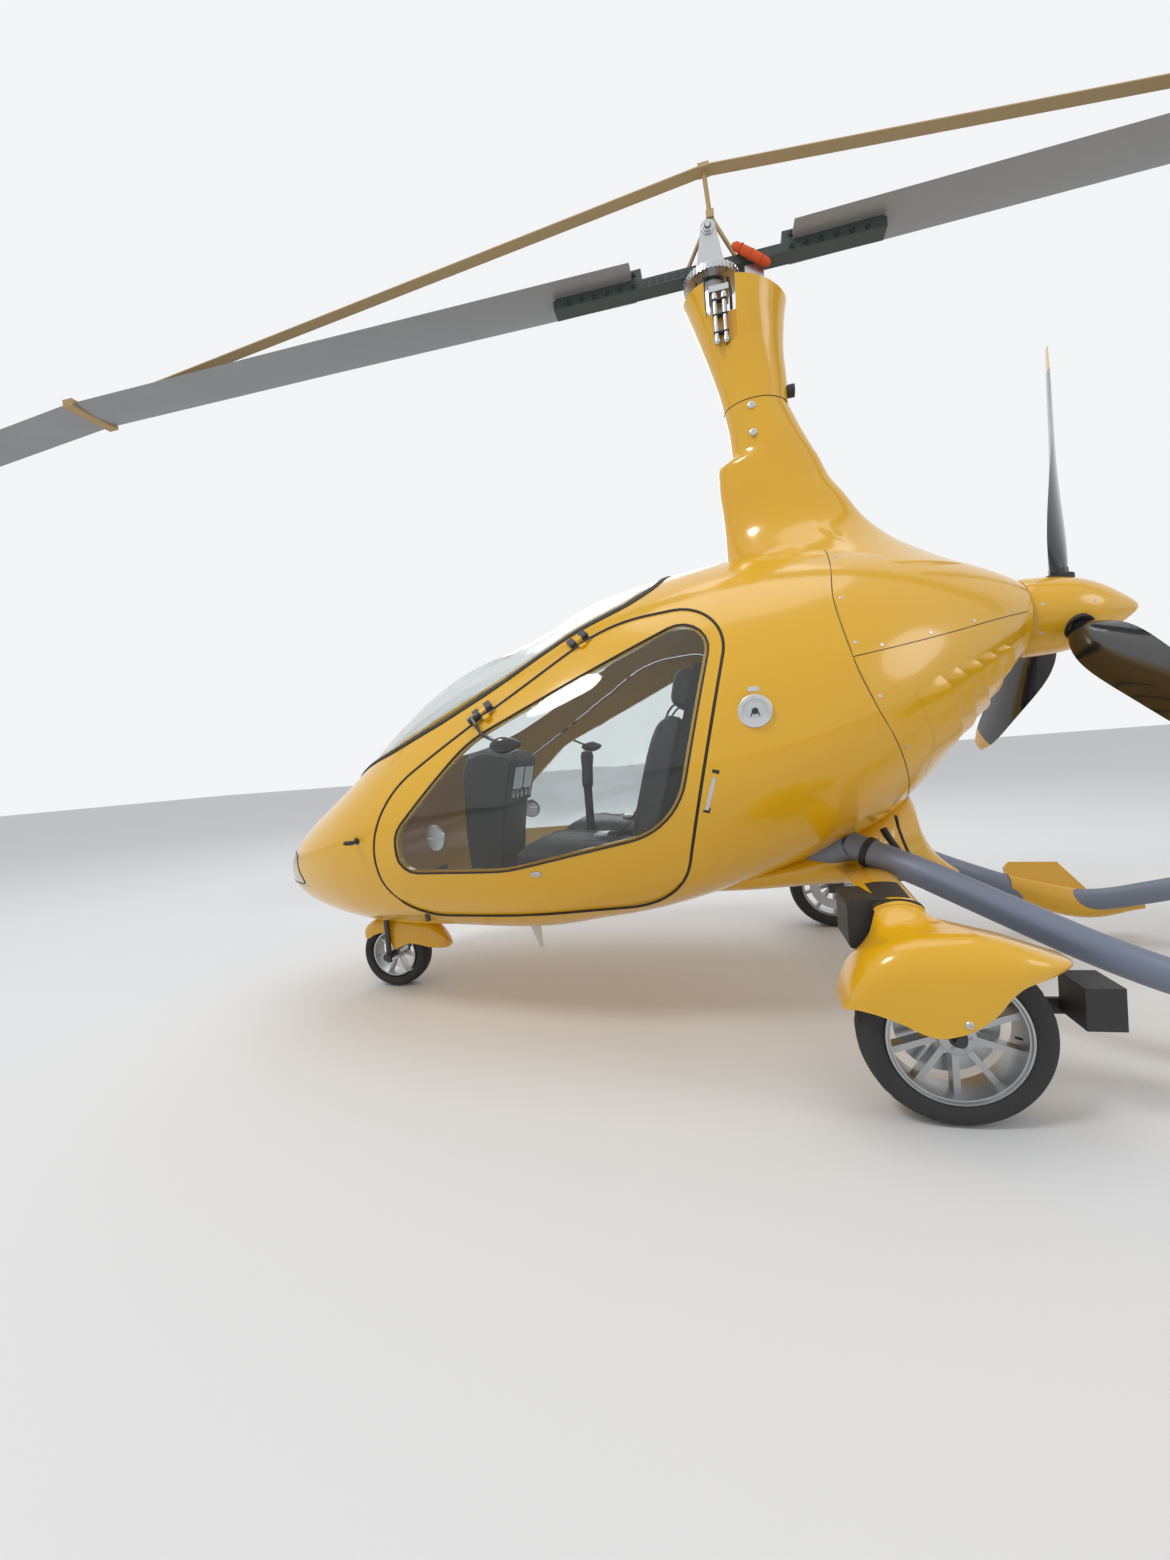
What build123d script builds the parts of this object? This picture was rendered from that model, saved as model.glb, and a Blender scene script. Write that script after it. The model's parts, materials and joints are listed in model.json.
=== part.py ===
from build123d import *
import os
from math import cos, radians, sin

# Enclosed-cabin gyrocopter with side by side seats, parked on its three wheels.
# Millimetres. +X runs aft, +Y to starboard, +Z up. The origin is on the ground
# below the rotor's axis. Port pieces are modelled and mirrored to starboard.

os.makedirs("parts", exist_ok=True)

# Body form, one row for each station
# columns: x, half width, top, height of the widest line, bottom
body_stations = [
    (-1880, 110, 612, 540, 458),
    (-1830, 215, 655, 552, 415),
    (-1700, 345, 770, 600, 358),
    (-1550, 440, 872, 640, 318),
    (-1300, 540, 1081, 700, 290),
    (-950, 610, 1319, 760, 275),
    (-550, 640, 1473, 820, 300),
    (-200, 640, 1556, 870, 368),
    (150, 600, 1586, 920, 480),
    (450, 490, 1557, 1020, 630),
    (700, 330, 1490, 1145, 885),
    (830, 228, 1435, 1220, 1042),
    (905, 155, 1395, 1262, 1125),
]
wall_thick = 25
skin_thick = 5
cowl_thick = 8
seam_gap = 0.6

# Tool blocks reach past the body on every side
half_span = 700
sky_z = 1750
ahead_x = -1950
behind_x = 1000

# Doors and their windows, side view
# columns: corner x, corner z, corner radius
door_corners = [
    (-1245, 392, 185),
    (-228, 398, 230),
    (-8, 1362, 140),
    (-394, 1337, 470),
    (-1243, 806, 380),
]
window_corners = [
    (-1150, 577, 62),
    (-760, 578, 500),
    (-214, 684, 230),
    (-55, 1353, 84),
    (-850, 1000, 420),
    (-1142, 718, 110),
]
door_gap = 9
pan_step = 15
glass_gap = 0.3
window_ledge = 12
door_inner_y = 250
hinge_front = (-837, -560, 1067)
hinge_rear = (-459, -474, 1309)
hinge_pin_r = 4
hinge_play = 0.05
knuckle_r = 8
knuckle_length = 22
knuckle_gap = 0.5
strap_leaf = 32
hinge_normal = (-0.15, -0.8, 0.57)
strap_thick_max = 18

# Windscreen, lower edge in side view from the nose back to the roof
screen_edge = [
    (-1590, 866),
    (-1440, 905),
    (-1340, 936),
    (-1173, 982),
    (-1017, 1044),
    (-846, 1128),
    (-750, 1183),
    (-655, 1241),
    (-503, 1323),
    (-352, 1391),
    (-262, 1458),
    (-234, 1510),
    (-212, 1610),
]
screen_ledge = 24
seal_width = 15

# Nose lamps
lamp_y = 255
lamp_half = 95
lamp_low = 505
lamp_high = 640
lamp_rear = -1565

# Engine cowling, front seam in side view
cowl_seam = [
    (300, 1700),
    (284, 1438),
    (268, 1325),
    (297, 1137),
    (351, 993),
    (407, 891),
    (467, 767),
    (540, 560),
]

# Cabin fittings
floor_z = 360
floor_thick = 12
floor_front = -1290
bulkhead_x = 60
bulkhead_thick = 12
seat_y = 295
seat_width = 450
seat_gap = 22
seat_corners = [
    (-760, 372, 4),
    (-775, 545, 40),
    (-340, 505, 60),
    (-165, 1165, 40),
    (-85, 1175, 40),
    (-20, 760, 60),
    (-20, 372, 4),
]
pod_corners = [
    (-1060, 372, 4),
    (-1090, 660, 60),
    (-1050, 985, 40),
    (-860, 960, 30),
    (-905, 700, 60),
    (-960, 372, 4),
]
pod_width = 300
stick_x = -610
stick_top = 850
stick_r = 11

# Mast fairing and the head housing above its seam
# columns: z, front x, rear x, half width
mast_levels = [
    (1500, -70, 700, 250),
    (1590, -12, 560, 170),
    (1690, -12, 462, 112),
    (1850, -22, 358, 92),
    (1930, -18, 325, 90),
    (1962, 32, 308, 90),
    (2130, 14, 236, 90),
]
head_levels = [
    (2130.3, 14, 236, 90),
    (2200, 0, 240, 94),
    (2310, -30, 232, 112),
    (2416, -63, 240, 140),
    (2560, -112, 264, 170),
]
cup_rim_front = (-104, 2542)
cup_rim_rear = (260, 2484)
cup_floor = 2440
cup_wall = 8
rod_y = 104
rod_r = 9
rod_low = 2325
rod_top = 2500
rod_places = (4, 36)
rod_recess = (-25, 75)
bracket_low = (118, -32)
bracket_high = (182, 32)
yoke_half = (-14, 54)
yoke_thick = 20
beacon_z = 2172
beacon_r = 22
beacon_end = 262

# Rotor
rotor_r = 4200
blade_chord = 205
blade_thick = 24
# columns: radius, height of the chord line
blade_line = [(285, 2682), (1600, 2702), (2900, 2716), (rotor_r, 2612)]
hub_bar_half = 590
hub_bar_width = 62
hub_bar_low = 2634
hub_bar_top = 2667
clamp_reach = (250, 575)
clamp_top = 2706
tower_top = 2768
bolt_r = 12
tower_gap = 78
tower_thick = 12
ring_r = 100
ring_low = 2598
ring_top = 2620
ring_teeth = 40
rotor_shaft_r = 26
shaft_play = 0.05
bearing_r = 48
post_top = 3015
post_joint = (12, 2850)
post_feet = (-88, 100)
post_r = 7
collar_half = 14
strap_reach = 2875
strap_width = 48
strap_thick = 4
sleeve_half = 26
sleeve_reach = 110
sleeve_bottom = 2700
sleeve_top = 2734

# Propeller
prop_z = 1268
prop_plane_x = 1052
prop_r = 870
prop_count = 3
# columns: radius, chord, thickness, pitch in degrees
prop_sections = [
    (120, 62, 46, 62),
    (260, 150, 30, 44),
    (520, 142, 18, 28),
    (780, 100, 11, 20),
    (prop_r, 46, 7, 18),
]
spinner_r = 138
spinner_wall = 5
spinner_start = 917
spinner_shoulder = 1112
spinner_tip = 1271
spinner_hole_reach = (90, 170)
spinner_bulge = (18, 0.62)
prop_hub_r = 72
prop_hub_end = 1104
prop_root_r = 28
prop_root_reach = (40, 150)
prop_root_play = 14
plate_thick = 6
prop_shaft_r = 30
prop_shaft_end = 1040

# Engine
engine_front = 255
engine_rear = 655
engine_half = 195
engine_low = 945
engine_top = 1345
engine_rail_y = 120
engine_rail_r = 22
gearbox_r = 85

# Main wheels
main_x = 405
main_y = 812
main_r = 210
tyre_width = 104
main_rim_r = 152
main_rim_width = 92
main_hub_r = 40
main_hub_width = 70
main_axle_r = 12.5
main_spokes = 10
axle_play = 0.05
drive_box_low = (208, -720, 375)
drive_box_high = (320, -560, 500)
bracket_outer_y = 860
bracket_x = (658, 735)
bracket_z = (235, 330)
tail_bar_z = (225, 262)
carrier_top_x = (280, 372)
carrier_waist = 40
carrier_y = 739
carrier_top = 470
carrier_bottom_r = 34
axle_shoulder_r = 22
axle_nut_r = 20
hub_side_play = 0.3
carrier_thick = 12
axle_end_y = 878

# Nose wheel
nose_x = -1512
nose_r = 145
nose_tyre_width = 88
nose_rim_r = 98
nose_rim_width = 74
nose_hub_r = 28
nose_hub_width = 64
nose_axle_r = 9
nose_spokes = 7
stem_r = 18
stem_top = 430
head_tube_wall = 12
well_r = 196
well_roof = 352
well_wall = 8
fender_thick = 4
fender_width = 112
# columns: x, z, from the front edge over the top to the rear edge
fender_arc = [(-1671, 214), (-1478, 312), (-1286, 210)]
crown_low = 318
tab_half = 6
tab_z = (300, 309)
fork_half = 76
fork_leg_r = 11
tow_pin_reach = 22
tow_pin_left_r = 16
tow_pin_right_r = 15
crown_thick = 20
crown_half_length = 30

# Main gear bow and wheel pants
bow_thick = 34
# columns: y, front x, chord, z
bow_sections = [
    (-800, 266, 112, 478),
    (-450, 262, 130, 496),
    (0, 250, 170, 470),
    (450, 262, 130, 496),
    (800, 266, 112, 478),
]
pant_inner_y = 748
pant_wall = 6
# columns: x, reach outboard, top, height where the side turns upright, lower edge
pant_stations = [
    (163, 120, 335, 318, 300),
    (185, 150, 385, 330, 290),
    (250, 172, 450, 350, 262),
    (370, 177, 480, 360, 212),
    (450, 177, 470, 360, 214),
    (510, 172, 448, 365, 300),
    (600, 140, 415, 375, 345),
    (650, 70, 398, 385, 372),
]
neck_levels = [(438, 205, 480, 64), (512, 252, 392, 32)]
neck_y = 778

# Tail booms, port centre line
boom_r = 43
boom_corners = [
    (300, -285, 572),
    (465, -420, 505),
    (865, -655, 305),
    (1300, -565, 140),
    (1700, -440, 250),
    (2150, -380, 392),
    (2600, -380, 392),
]
boom_bends = [300, 480, 560, 560, 560]

# Tail unit
tailplane_front = 2230
tailplane_chord = 390
tailplane_half = 870
tailplane_z = 450
saddle_half = 26
tailplane_thick = 30
fin_thick = 44
outer_fin_thick = 34
# columns: z, leading x, trailing x, lean in y
outer_fin_levels = [(235, 2330, 2610, 0), (430, 2215, 2690, 0), (1010, 2375, 2660, 0), (1090, 2470, 2630, 0)]
outer_fin_y = 879
rudder_hinge_x = 2490
rudder_low = 486
rudder_top = 1290
centre_fin_levels = [(452, 2170, 2470, 0), (800, 2230, 2470, 0), (rudder_top, 2380, 2470, 0)]
rudder_levels = [(rudder_low, 2512, 2722, 0), (1150, 2512, 2715, 0), (rudder_top, 2512, 2660, 0)]
rudder_pin_r = 6
rudder_lugs = (560, 850, 1140)
lug_size = 11
arm_shift = 30
arm_half = 8

# Fairing under the body that the gear bow and the booms pass into
# columns: x, half width, top, height of the widest line, bottom
keel_stations = [
    (-200, 120, 470, 430, 372),
    (0, 215, 505, 455, 385),
    (250, 265, 590, 500, 400),
    (450, 195, 690, 520, 400),
    (556, 95, 712, 520, 404),
    (570, 82, 575, 480, 404),
    (604, 60, 522, 450, 402),
    (700, 12, 420, 408, 396),
]

# Cones at the booms' roots, and the bullets with stub fins at their low points
root_start = (120, -150, 490)
root_r = (22, 50)
# columns: x, y, z, radius
bullet_stations = [
    (1085, -612, 226, 47),
    (1200, -590, 182, 60),
    (1320, -576, 150, 62),
    (1450, -585, 132, 42),
    (1578, -598, 121, 10),
]
stub_root = (1085, -585, 175)
stub_cant = 26
stub_thick = 26
# columns: distance aft of the root's start, height along the fin
stub_corners = [(0, 0), (0, 132), (18, 152), (203, 146), (308, -12), (215, -20)]

# Fuel filler on the port side
filler_centre = (21, -615, 1007)
filler_r = 46


def save(part, name):
    part.label = name
    export_step(part, f"parts/{name}.step")


def save_pair(part, name):
    save(part, f"{name}_left")
    save(mirror(part, about=Plane.XZ), f"{name}_right")


def oval_form(stations, inset=0, ruled=False):
    """A form through upright ovals along X, brought in by inset at every station."""
    with BuildPart(mode=Mode.PRIVATE) as form:
        for x, half_width, top, wide, bottom in stations:
            station_x = x + inset if x == stations[0][0] else x
            with BuildSketch(Plane.YZ.offset(station_x)):
                with BuildLine():
                    EllipticalCenterArc((0, wide), half_width - inset, top - wide - inset, 0, arc_size=180)
                    EllipticalCenterArc((0, wide), half_width - inset, wide - bottom - inset, 180, arc_size=180)
                make_face()
        loft(ruled=ruled)
    return form.part


def rounded_block(corners, low_y, high_y, grow=0):
    """A block along Y whose side view outline has rounded corners."""
    with BuildPart(mode=Mode.PRIVATE) as block:
        with BuildSketch(Plane.XZ.offset(-high_y)):
            with BuildLine():
                FilletPolyline(
                    *[(x, z) for x, z, radius in corners],
                    radius=[radius for x, z, radius in corners],
                    close=True,
                )
            make_face()
            if grow:
                offset(amount=grow)
        extrude(amount=high_y - low_y)
    return block.part


def plain_block(points, low_y, high_y):
    """A block along Y whose side view outline has straight sides."""
    with BuildPart(mode=Mode.PRIVATE) as block:
        with BuildSketch(Plane.XZ.offset(-high_y)):
            with BuildLine():
                Polyline(*points, close=True)
            make_face()
        extrude(amount=high_y - low_y)
    return block.part


def level_form(levels, inset=0, y=0):
    """An upright form through oval levels."""
    with BuildPart(mode=Mode.PRIVATE) as form:
        for z, front_x, rear_x, half_width in levels:
            with BuildSketch(Plane.XY.offset(z)):
                with Locations(((front_x + rear_x) / 2, y)):
                    Ellipse((rear_x - front_x) / 2 - inset, half_width - inset)
        loft(ruled=True)
    return form.part


def fin_form(levels, y, thick):
    """An upright fin through lens shaped levels."""
    with BuildPart(mode=Mode.PRIVATE) as fin:
        for z, lead_x, trail_x, lean in levels:
            middle_x = lead_x + 0.4 * (trail_x - lead_x)
            with BuildSketch(Plane.XY.offset(z)):
                with BuildLine():
                    ThreePointArc((lead_x, y + lean), (middle_x, y + lean + thick / 2), (trail_x, y + lean))
                    ThreePointArc((trail_x, y + lean), (middle_x, y + lean - thick / 2), (lead_x, y + lean))
                make_face()
        loft(ruled=True)
    return fin.part


def rod(start, end, radius):
    """A round bar from start to end."""
    run = Vector(*end) - Vector(*start)
    with BuildPart(mode=Mode.PRIVATE) as bar:
        with BuildSketch(Plane(origin=start, z_dir=run)):
            Circle(radius)
        extrude(amount=run.length)
    return bar.part


def box_between(low, high):
    """A box from its low corner to its high corner."""
    with BuildPart(mode=Mode.PRIVATE) as box:
        with Locations(tuple((a + b) / 2 for a, b in zip(low, high))):
            Box(*(b - a for a, b in zip(low, high)))
    return box.part


def tyre(centre, outer_r, inner_r, width):
    """A tyre about an axle along Y."""
    half = width / 2
    shoulder = outer_r - 0.1 * outer_r
    plane = Plane(origin=centre, x_dir=(0, 1, 0), z_dir=(1, 0, 0))
    with BuildPart(mode=Mode.PRIVATE) as ring:
        with BuildSketch(plane):
            with BuildLine():
                Polyline((-0.8 * half, inner_r), (0.8 * half, inner_r))
                ThreePointArc((0.8 * half, inner_r), (half, (inner_r + shoulder) / 2), (0.9 * half, shoulder))
                ThreePointArc((0.9 * half, shoulder), (0, outer_r), (-0.9 * half, shoulder))
                ThreePointArc((-0.9 * half, shoulder), (-half, (inner_r + shoulder) / 2), (-0.8 * half, inner_r))
            make_face()
        revolve(axis=Axis(centre, (0, 1, 0)))
    return ring.part


def rim(centre, rim_r, width, hub_r, hub_width, bore_r, spokes):
    """A spoked light alloy rim about an axle along Y."""
    barrel = 0.06 * rim_r
    with BuildPart(Plane(origin=centre, z_dir=(0, 1, 0)), mode=Mode.PRIVATE) as wheel:
        Cylinder(rim_r, width)
        Cylinder(rim_r - barrel, width, mode=Mode.SUBTRACT)
        Cylinder(hub_r, hub_width)
        with PolarLocations((rim_r - 0.5 * barrel + hub_r - 6) / 2, spokes):
            Box(rim_r - 0.5 * barrel - hub_r + 6, 0.1 * rim_r, 0.5 * hub_width)
        Cylinder(bore_r, hub_width, mode=Mode.SUBTRACT)
    return wheel.part


# Body skins
outer_form = oval_form(body_stations)
skin_form = oval_form(body_stations, skin_thick)
wall_form = oval_form(body_stations, wall_thick)
cowl_form = oval_form(body_stations, cowl_thick)
seat_form = oval_form(body_stations, wall_thick + seat_gap)

door_block = rounded_block(door_corners, -half_span, -door_inner_y)
leaf_block = rounded_block(door_corners, -half_span, -door_inner_y, -door_gap)
pan_block = rounded_block(door_corners, -half_span, -door_inner_y, -door_gap - pan_step)
window_block = rounded_block(window_corners, -half_span, -door_inner_y)
window_hole = rounded_block(window_corners, -half_span, -door_inner_y, -window_ledge)
glass_block = rounded_block(window_corners, -half_span, -door_inner_y, -glass_gap)


def screen_region(lift):
    """The region over the windscreen's lower edge, with the edge moved in by lift."""
    edge = [(x - 0.5 * lift, z + lift) for x, z in screen_edge]
    return plain_block(edge + [(edge[-1][0], sky_z), (ahead_x, sky_z), (ahead_x, edge[0][1])], -half_span, half_span)


screen_block = screen_region(0)
seal_hole = screen_region(seal_width)
glass_region = screen_region(seal_width + glass_gap)
screen_hole = screen_region(screen_ledge)

cowl_low = cowl_seam[-1][1]
cowl_high = cowl_seam[0][1]
cowl_block = plain_block(cowl_seam + [(behind_x, cowl_low), (behind_x, cowl_high)], -half_span, half_span)
shell_end = plain_block(
    [(x - seam_gap, z) for x, z in cowl_seam] + [(behind_x, cowl_low), (behind_x, cowl_high)],
    -half_span,
    half_span,
)
lamp_boxes = [
    box_between((ahead_x, side * lamp_y - lamp_half, lamp_low), (lamp_rear, side * lamp_y + lamp_half, lamp_high))
    for side in (-1, 1)
]

# Nose lamps
with BuildPart() as nose_lamps:
    add(lamp_boxes)
    add(outer_form, mode=Mode.INTERSECT)
    add(skin_form, mode=Mode.SUBTRACT)
save(nose_lamps.part, "nose_lamps")

# Cabin shell
with BuildPart() as screen_rebate:
    add(screen_block)
    add(skin_form, mode=Mode.SUBTRACT)

with BuildPart() as lamp_rebate:
    add(lamp_boxes)
    add(skin_form, mode=Mode.SUBTRACT)

with BuildPart() as wheel_well:
    with Locations((nose_x, 0, 0)):
        Cylinder(well_r + well_wall, well_roof + well_wall, align=(Align.CENTER, Align.CENTER, Align.MIN))
    add(outer_form, mode=Mode.INTERSECT)

tube_low = crown_low + crown_thick + hub_side_play
with BuildPart() as cabin_shell:
    add(outer_form)
    add(wall_form, mode=Mode.SUBTRACT)
    add(shell_end, mode=Mode.SUBTRACT)
    add(screen_rebate.part, mode=Mode.SUBTRACT)
    add(screen_hole, mode=Mode.SUBTRACT)
    add(lamp_rebate.part, mode=Mode.SUBTRACT)
    add(door_block, mode=Mode.SUBTRACT)
    add(mirror(door_block, about=Plane.XZ, mode=Mode.PRIVATE), mode=Mode.SUBTRACT)
    add(wheel_well.part)
    with Locations((nose_x, 0, 0)):
        Cylinder(well_r, well_roof, align=(Align.CENTER, Align.CENTER, Align.MIN), mode=Mode.SUBTRACT)
    with Locations((nose_x, 0, tube_low)):
        Cylinder(stem_r + head_tube_wall, stem_top - tube_low, align=(Align.CENTER, Align.CENTER, Align.MIN))
        Cylinder(
            stem_r + shaft_play,
            stem_top - tube_low,
            align=(Align.CENTER, Align.CENTER, Align.MIN),
            mode=Mode.SUBTRACT,
        )
save(cabin_shell.part, "cabin_shell")

# Windscreen and its seal
with BuildPart() as windscreen:
    add(glass_region)
    add(outer_form, mode=Mode.INTERSECT)
    add(skin_form, mode=Mode.SUBTRACT)
save(windscreen.part, "windscreen")

with BuildPart() as windscreen_seal:
    add(screen_block)
    add(seal_hole, mode=Mode.SUBTRACT)
    add(outer_form, mode=Mode.INTERSECT)
    add(skin_form, mode=Mode.SUBTRACT)
save(windscreen_seal.part, "windscreen_seal")

# Doors, windows and hinges
hinge_run = Vector(*hinge_rear) - Vector(*hinge_front)
hinge_dir = hinge_run.normalized()
hinge_points = [Vector(*hinge_front) + hinge_dir * 40, Vector(*hinge_rear) - hinge_dir * 40]

with BuildPart() as door_rim:
    add(leaf_block)
    add(pan_block, mode=Mode.SUBTRACT)
    add(skin_form, mode=Mode.INTERSECT)

with BuildPart() as window_rebate:
    add(window_block)
    add(skin_form, mode=Mode.SUBTRACT)


def knuckle(point, shift, length, radius):
    """A length of hinge barrel centred on the hinge line."""
    start = point + hinge_dir * (shift - length / 2)
    return rod(tuple(start), tuple(start + hinge_dir * length), radius)


def hinge_strap(point, shift, length, side):
    """A strap from the barrel onto the skin, upwards or downwards."""
    centre = point + hinge_dir * shift
    plane = Plane(origin=tuple(centre), x_dir=hinge_dir, z_dir=hinge_normal)
    with BuildPart(plane, mode=Mode.PRIVATE) as strap:
        with Locations((0, side * (strap_leaf / 2 + 1), -strap_thick_max / 2 - 2)):
            Box(length, strap_leaf, strap_thick_max)
    with BuildPart(mode=Mode.PRIVATE) as seated:
        add(strap.part)
        add(outer_form, mode=Mode.SUBTRACT)
    return seated.part


with BuildPart() as door_hinges:
    for point in hinge_points:
        add(knuckle(point, 0, 3 * knuckle_length + 2 * knuckle_gap, hinge_pin_r))
        for end in (-1, 1):
            shift = end * (knuckle_length + knuckle_gap)
            add(knuckle(point, shift, knuckle_length, knuckle_r))
            add(hinge_strap(point, shift, knuckle_length, 1))
    mirror(about=Plane.XZ)
save(door_hinges.part, "door_hinges")

with BuildPart() as door:
    add(leaf_block)
    add(outer_form, mode=Mode.INTERSECT)
    add(wall_form, mode=Mode.SUBTRACT)
    add(door_rim.part, mode=Mode.SUBTRACT)
    add(window_rebate.part, mode=Mode.SUBTRACT)
    add(window_hole, mode=Mode.SUBTRACT)
    for point in hinge_points:
        add(hinge_strap(point, 0, knuckle_length, -1))
        add(knuckle(point, 0, knuckle_length, knuckle_r))
        add(knuckle(point, 0, knuckle_length + 2, hinge_pin_r + hinge_play), mode=Mode.SUBTRACT)
save_pair(door.part, "door")

with BuildPart() as door_glass:
    add(glass_block)
    add(outer_form, mode=Mode.INTERSECT)
    add(skin_form, mode=Mode.SUBTRACT)
save_pair(door_glass.part, "door_glass")

# Engine cowling
with BuildPart() as engine_cowling:
    add(cowl_block)
    add(outer_form, mode=Mode.INTERSECT)
    add(cowl_form, mode=Mode.SUBTRACT)
save(engine_cowling.part, "engine_cowling")

# Cabin floor and bulkhead
bulkhead_rear = bulkhead_x + bulkhead_thick
floor_top = floor_z + floor_thick
with BuildPart() as cabin_floor:
    add(box_between((floor_front, -half_span, floor_z), (bulkhead_x, half_span, floor_top)))
    add(wall_form, mode=Mode.INTERSECT)
save(cabin_floor.part, "cabin_floor")

with BuildPart() as bulkhead:
    add(box_between((bulkhead_x, -half_span, floor_z), (bulkhead_rear, half_span, sky_z)))
    add(wall_form, mode=Mode.INTERSECT)
save(bulkhead.part, "bulkhead")

# Seats, instrument pod and control sticks
seat_low_y = seat_y - seat_width / 2
with BuildPart() as seats:
    add(rounded_block(seat_corners, -seat_low_y - seat_width, -seat_low_y))
    add(seat_form, mode=Mode.INTERSECT)
    mirror(about=Plane.XZ)
save(seats.part, "seats")

with BuildPart() as instrument_pod:
    add(rounded_block(pod_corners, -pod_width / 2, pod_width / 2))
save(instrument_pod.part, "instrument_pod")

with BuildPart() as control_sticks:
    for side in (-1, 1):
        add(rod((stick_x, side * 25, floor_top), (stick_x, side * 25, stick_top), stick_r))
save(control_sticks.part, "control_sticks")

# Engine, its mount and the propeller shaft
with BuildPart() as engine:
    add(box_between((engine_front, -engine_half, engine_low), (engine_rear, engine_half, engine_top)))
    for side in (-1, 1):
        rail_y = side * engine_rail_y
        add(rod((bulkhead_rear, rail_y, engine_low + 60), (engine_front, rail_y, engine_low + 60), engine_rail_r))
    add(rod((engine_rear, 0, prop_z), (spinner_start - 10, 0, prop_z), gearbox_r))
    add(rod((engine_rear, 0, prop_z), (prop_shaft_end, 0, prop_z), prop_shaft_r))
save(engine.part, "engine")

# Mast
with BuildPart() as mast_fairing:
    add(level_form(mast_levels))
    add(outer_form, mode=Mode.SUBTRACT)
save(mast_fairing.part, "mast_fairing")

rim_slope = (cup_rim_rear[1] - cup_rim_front[1]) / (cup_rim_rear[0] - cup_rim_front[0])
rim_ahead = cup_rim_front[0] - 100
rim_behind = cup_rim_rear[0] + 100
rim_cut = plain_block(
    [
        (rim_ahead, cup_rim_front[1] - 100 * rim_slope),
        (rim_behind, cup_rim_rear[1] + 100 * rim_slope),
        (rim_behind, 2700),
        (rim_ahead, 2700),
    ],
    -300,
    300,
)
with BuildPart() as cup_space:
    add(level_form(head_levels, cup_wall))
    add(box_between((-300, -300, 2000), (400, 300, cup_floor)), mode=Mode.SUBTRACT)

with BuildPart() as mast_head:
    add(level_form(head_levels))
    add(rim_cut, mode=Mode.SUBTRACT)
    add(cup_space.part, mode=Mode.SUBTRACT)
    recess_low = (rod_recess[0], -half_span, rod_low)
    add(box_between(recess_low, (rod_recess[1], 12 - rod_y, sky_z + 1000)), mode=Mode.SUBTRACT)
save(mast_head.part, "mast_head")

with BuildPart() as beacon:
    add(rod((beacon_end - 62, 0, beacon_z), (beacon_end, 0, beacon_z), beacon_r))
    add(level_form(head_levels), mode=Mode.SUBTRACT)
save(beacon.part, "beacon")

# Rotor bearing, with the spin-up drive behind it
with BuildPart() as rotor_bearing:
    add(rod((0, 0, cup_floor), (0, 0, ring_low - 8), bearing_r))
    add(rod((0, 0, cup_floor + 30), (0, 0, ring_low), rotor_shaft_r + shaft_play), mode=Mode.SUBTRACT)
    add(box_between((*bracket_low, cup_floor), (*bracket_high, ring_top)))
    yoke_top = rod_top + yoke_thick
    add(box_between((yoke_half[0], -rod_y - 12, rod_top), (yoke_half[1], -bearing_r + 12, yoke_top)))
    add(rod((0, 0, rod_top - 1), (0, 0, yoke_top + 1), rotor_shaft_r + shaft_play), mode=Mode.SUBTRACT)
save(rotor_bearing.part, "rotor_bearing")

# Control push rods in a recess on the port side of the head
with BuildPart() as push_rods:
    for x in rod_places:
        add(rod((x, -rod_y, rod_low), (x, -rod_y, rod_top), rod_r))
save(push_rods.part, "push_rods")

# Rotor hub: shaft, toothed ring and the tower's two plates
bolt_half = tower_gap / 2 + tower_thick + 14
with BuildPart() as rotor_hub:
    add(rod((0, 0, cup_floor + 40), (0, 0, ring_top), rotor_shaft_r))
    add(rod((0, 0, ring_low), (0, 0, ring_top), ring_r - 4))
    with Locations((0, 0, (ring_low + ring_top) / 2)):
        with PolarLocations(ring_r - 4, ring_teeth):
            Box(8, 8, ring_top - ring_low)
    for side in (-1, 1):
        plate_y = side * (tower_gap + tower_thick) / 2
        with BuildSketch(Plane.XZ.offset(-plate_y - tower_thick / 2)) as plate:
            with BuildLine():
                Line((-52, ring_top), (-26, tower_top + 6))
                ThreePointArc((-26, tower_top + 6), (0, tower_top + 32), (26, tower_top + 6))
                Polyline((26, tower_top + 6), (52, ring_top), (-52, ring_top))
            make_face()
        extrude(amount=tower_thick)
    add(rod((0, -bolt_half, tower_top), (0, bolt_half, tower_top), bolt_r), mode=Mode.SUBTRACT)
save(rotor_hub.part, "rotor_hub")


def rotor_blade(side):
    """A blade through lens shaped sections, out along side times X."""
    with BuildPart(mode=Mode.PRIVATE) as blade:
        for radius, height in blade_line:
            with BuildSketch(Plane.YZ.offset(side * radius)):
                with BuildLine():
                    half = blade_chord / 2
                    ThreePointArc((-half, height), (-0.2 * half, height + blade_thick / 2), (half, height))
                    ThreePointArc((half, height), (-0.2 * half, height - blade_thick / 2), (-half, height))
                make_face()
        loft(ruled=True)
    return blade.part


blade_front = rotor_blade(-1)
blade_rear = rotor_blade(1)
save(blade_front, "blade_front")
save(blade_rear, "blade_rear")

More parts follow.
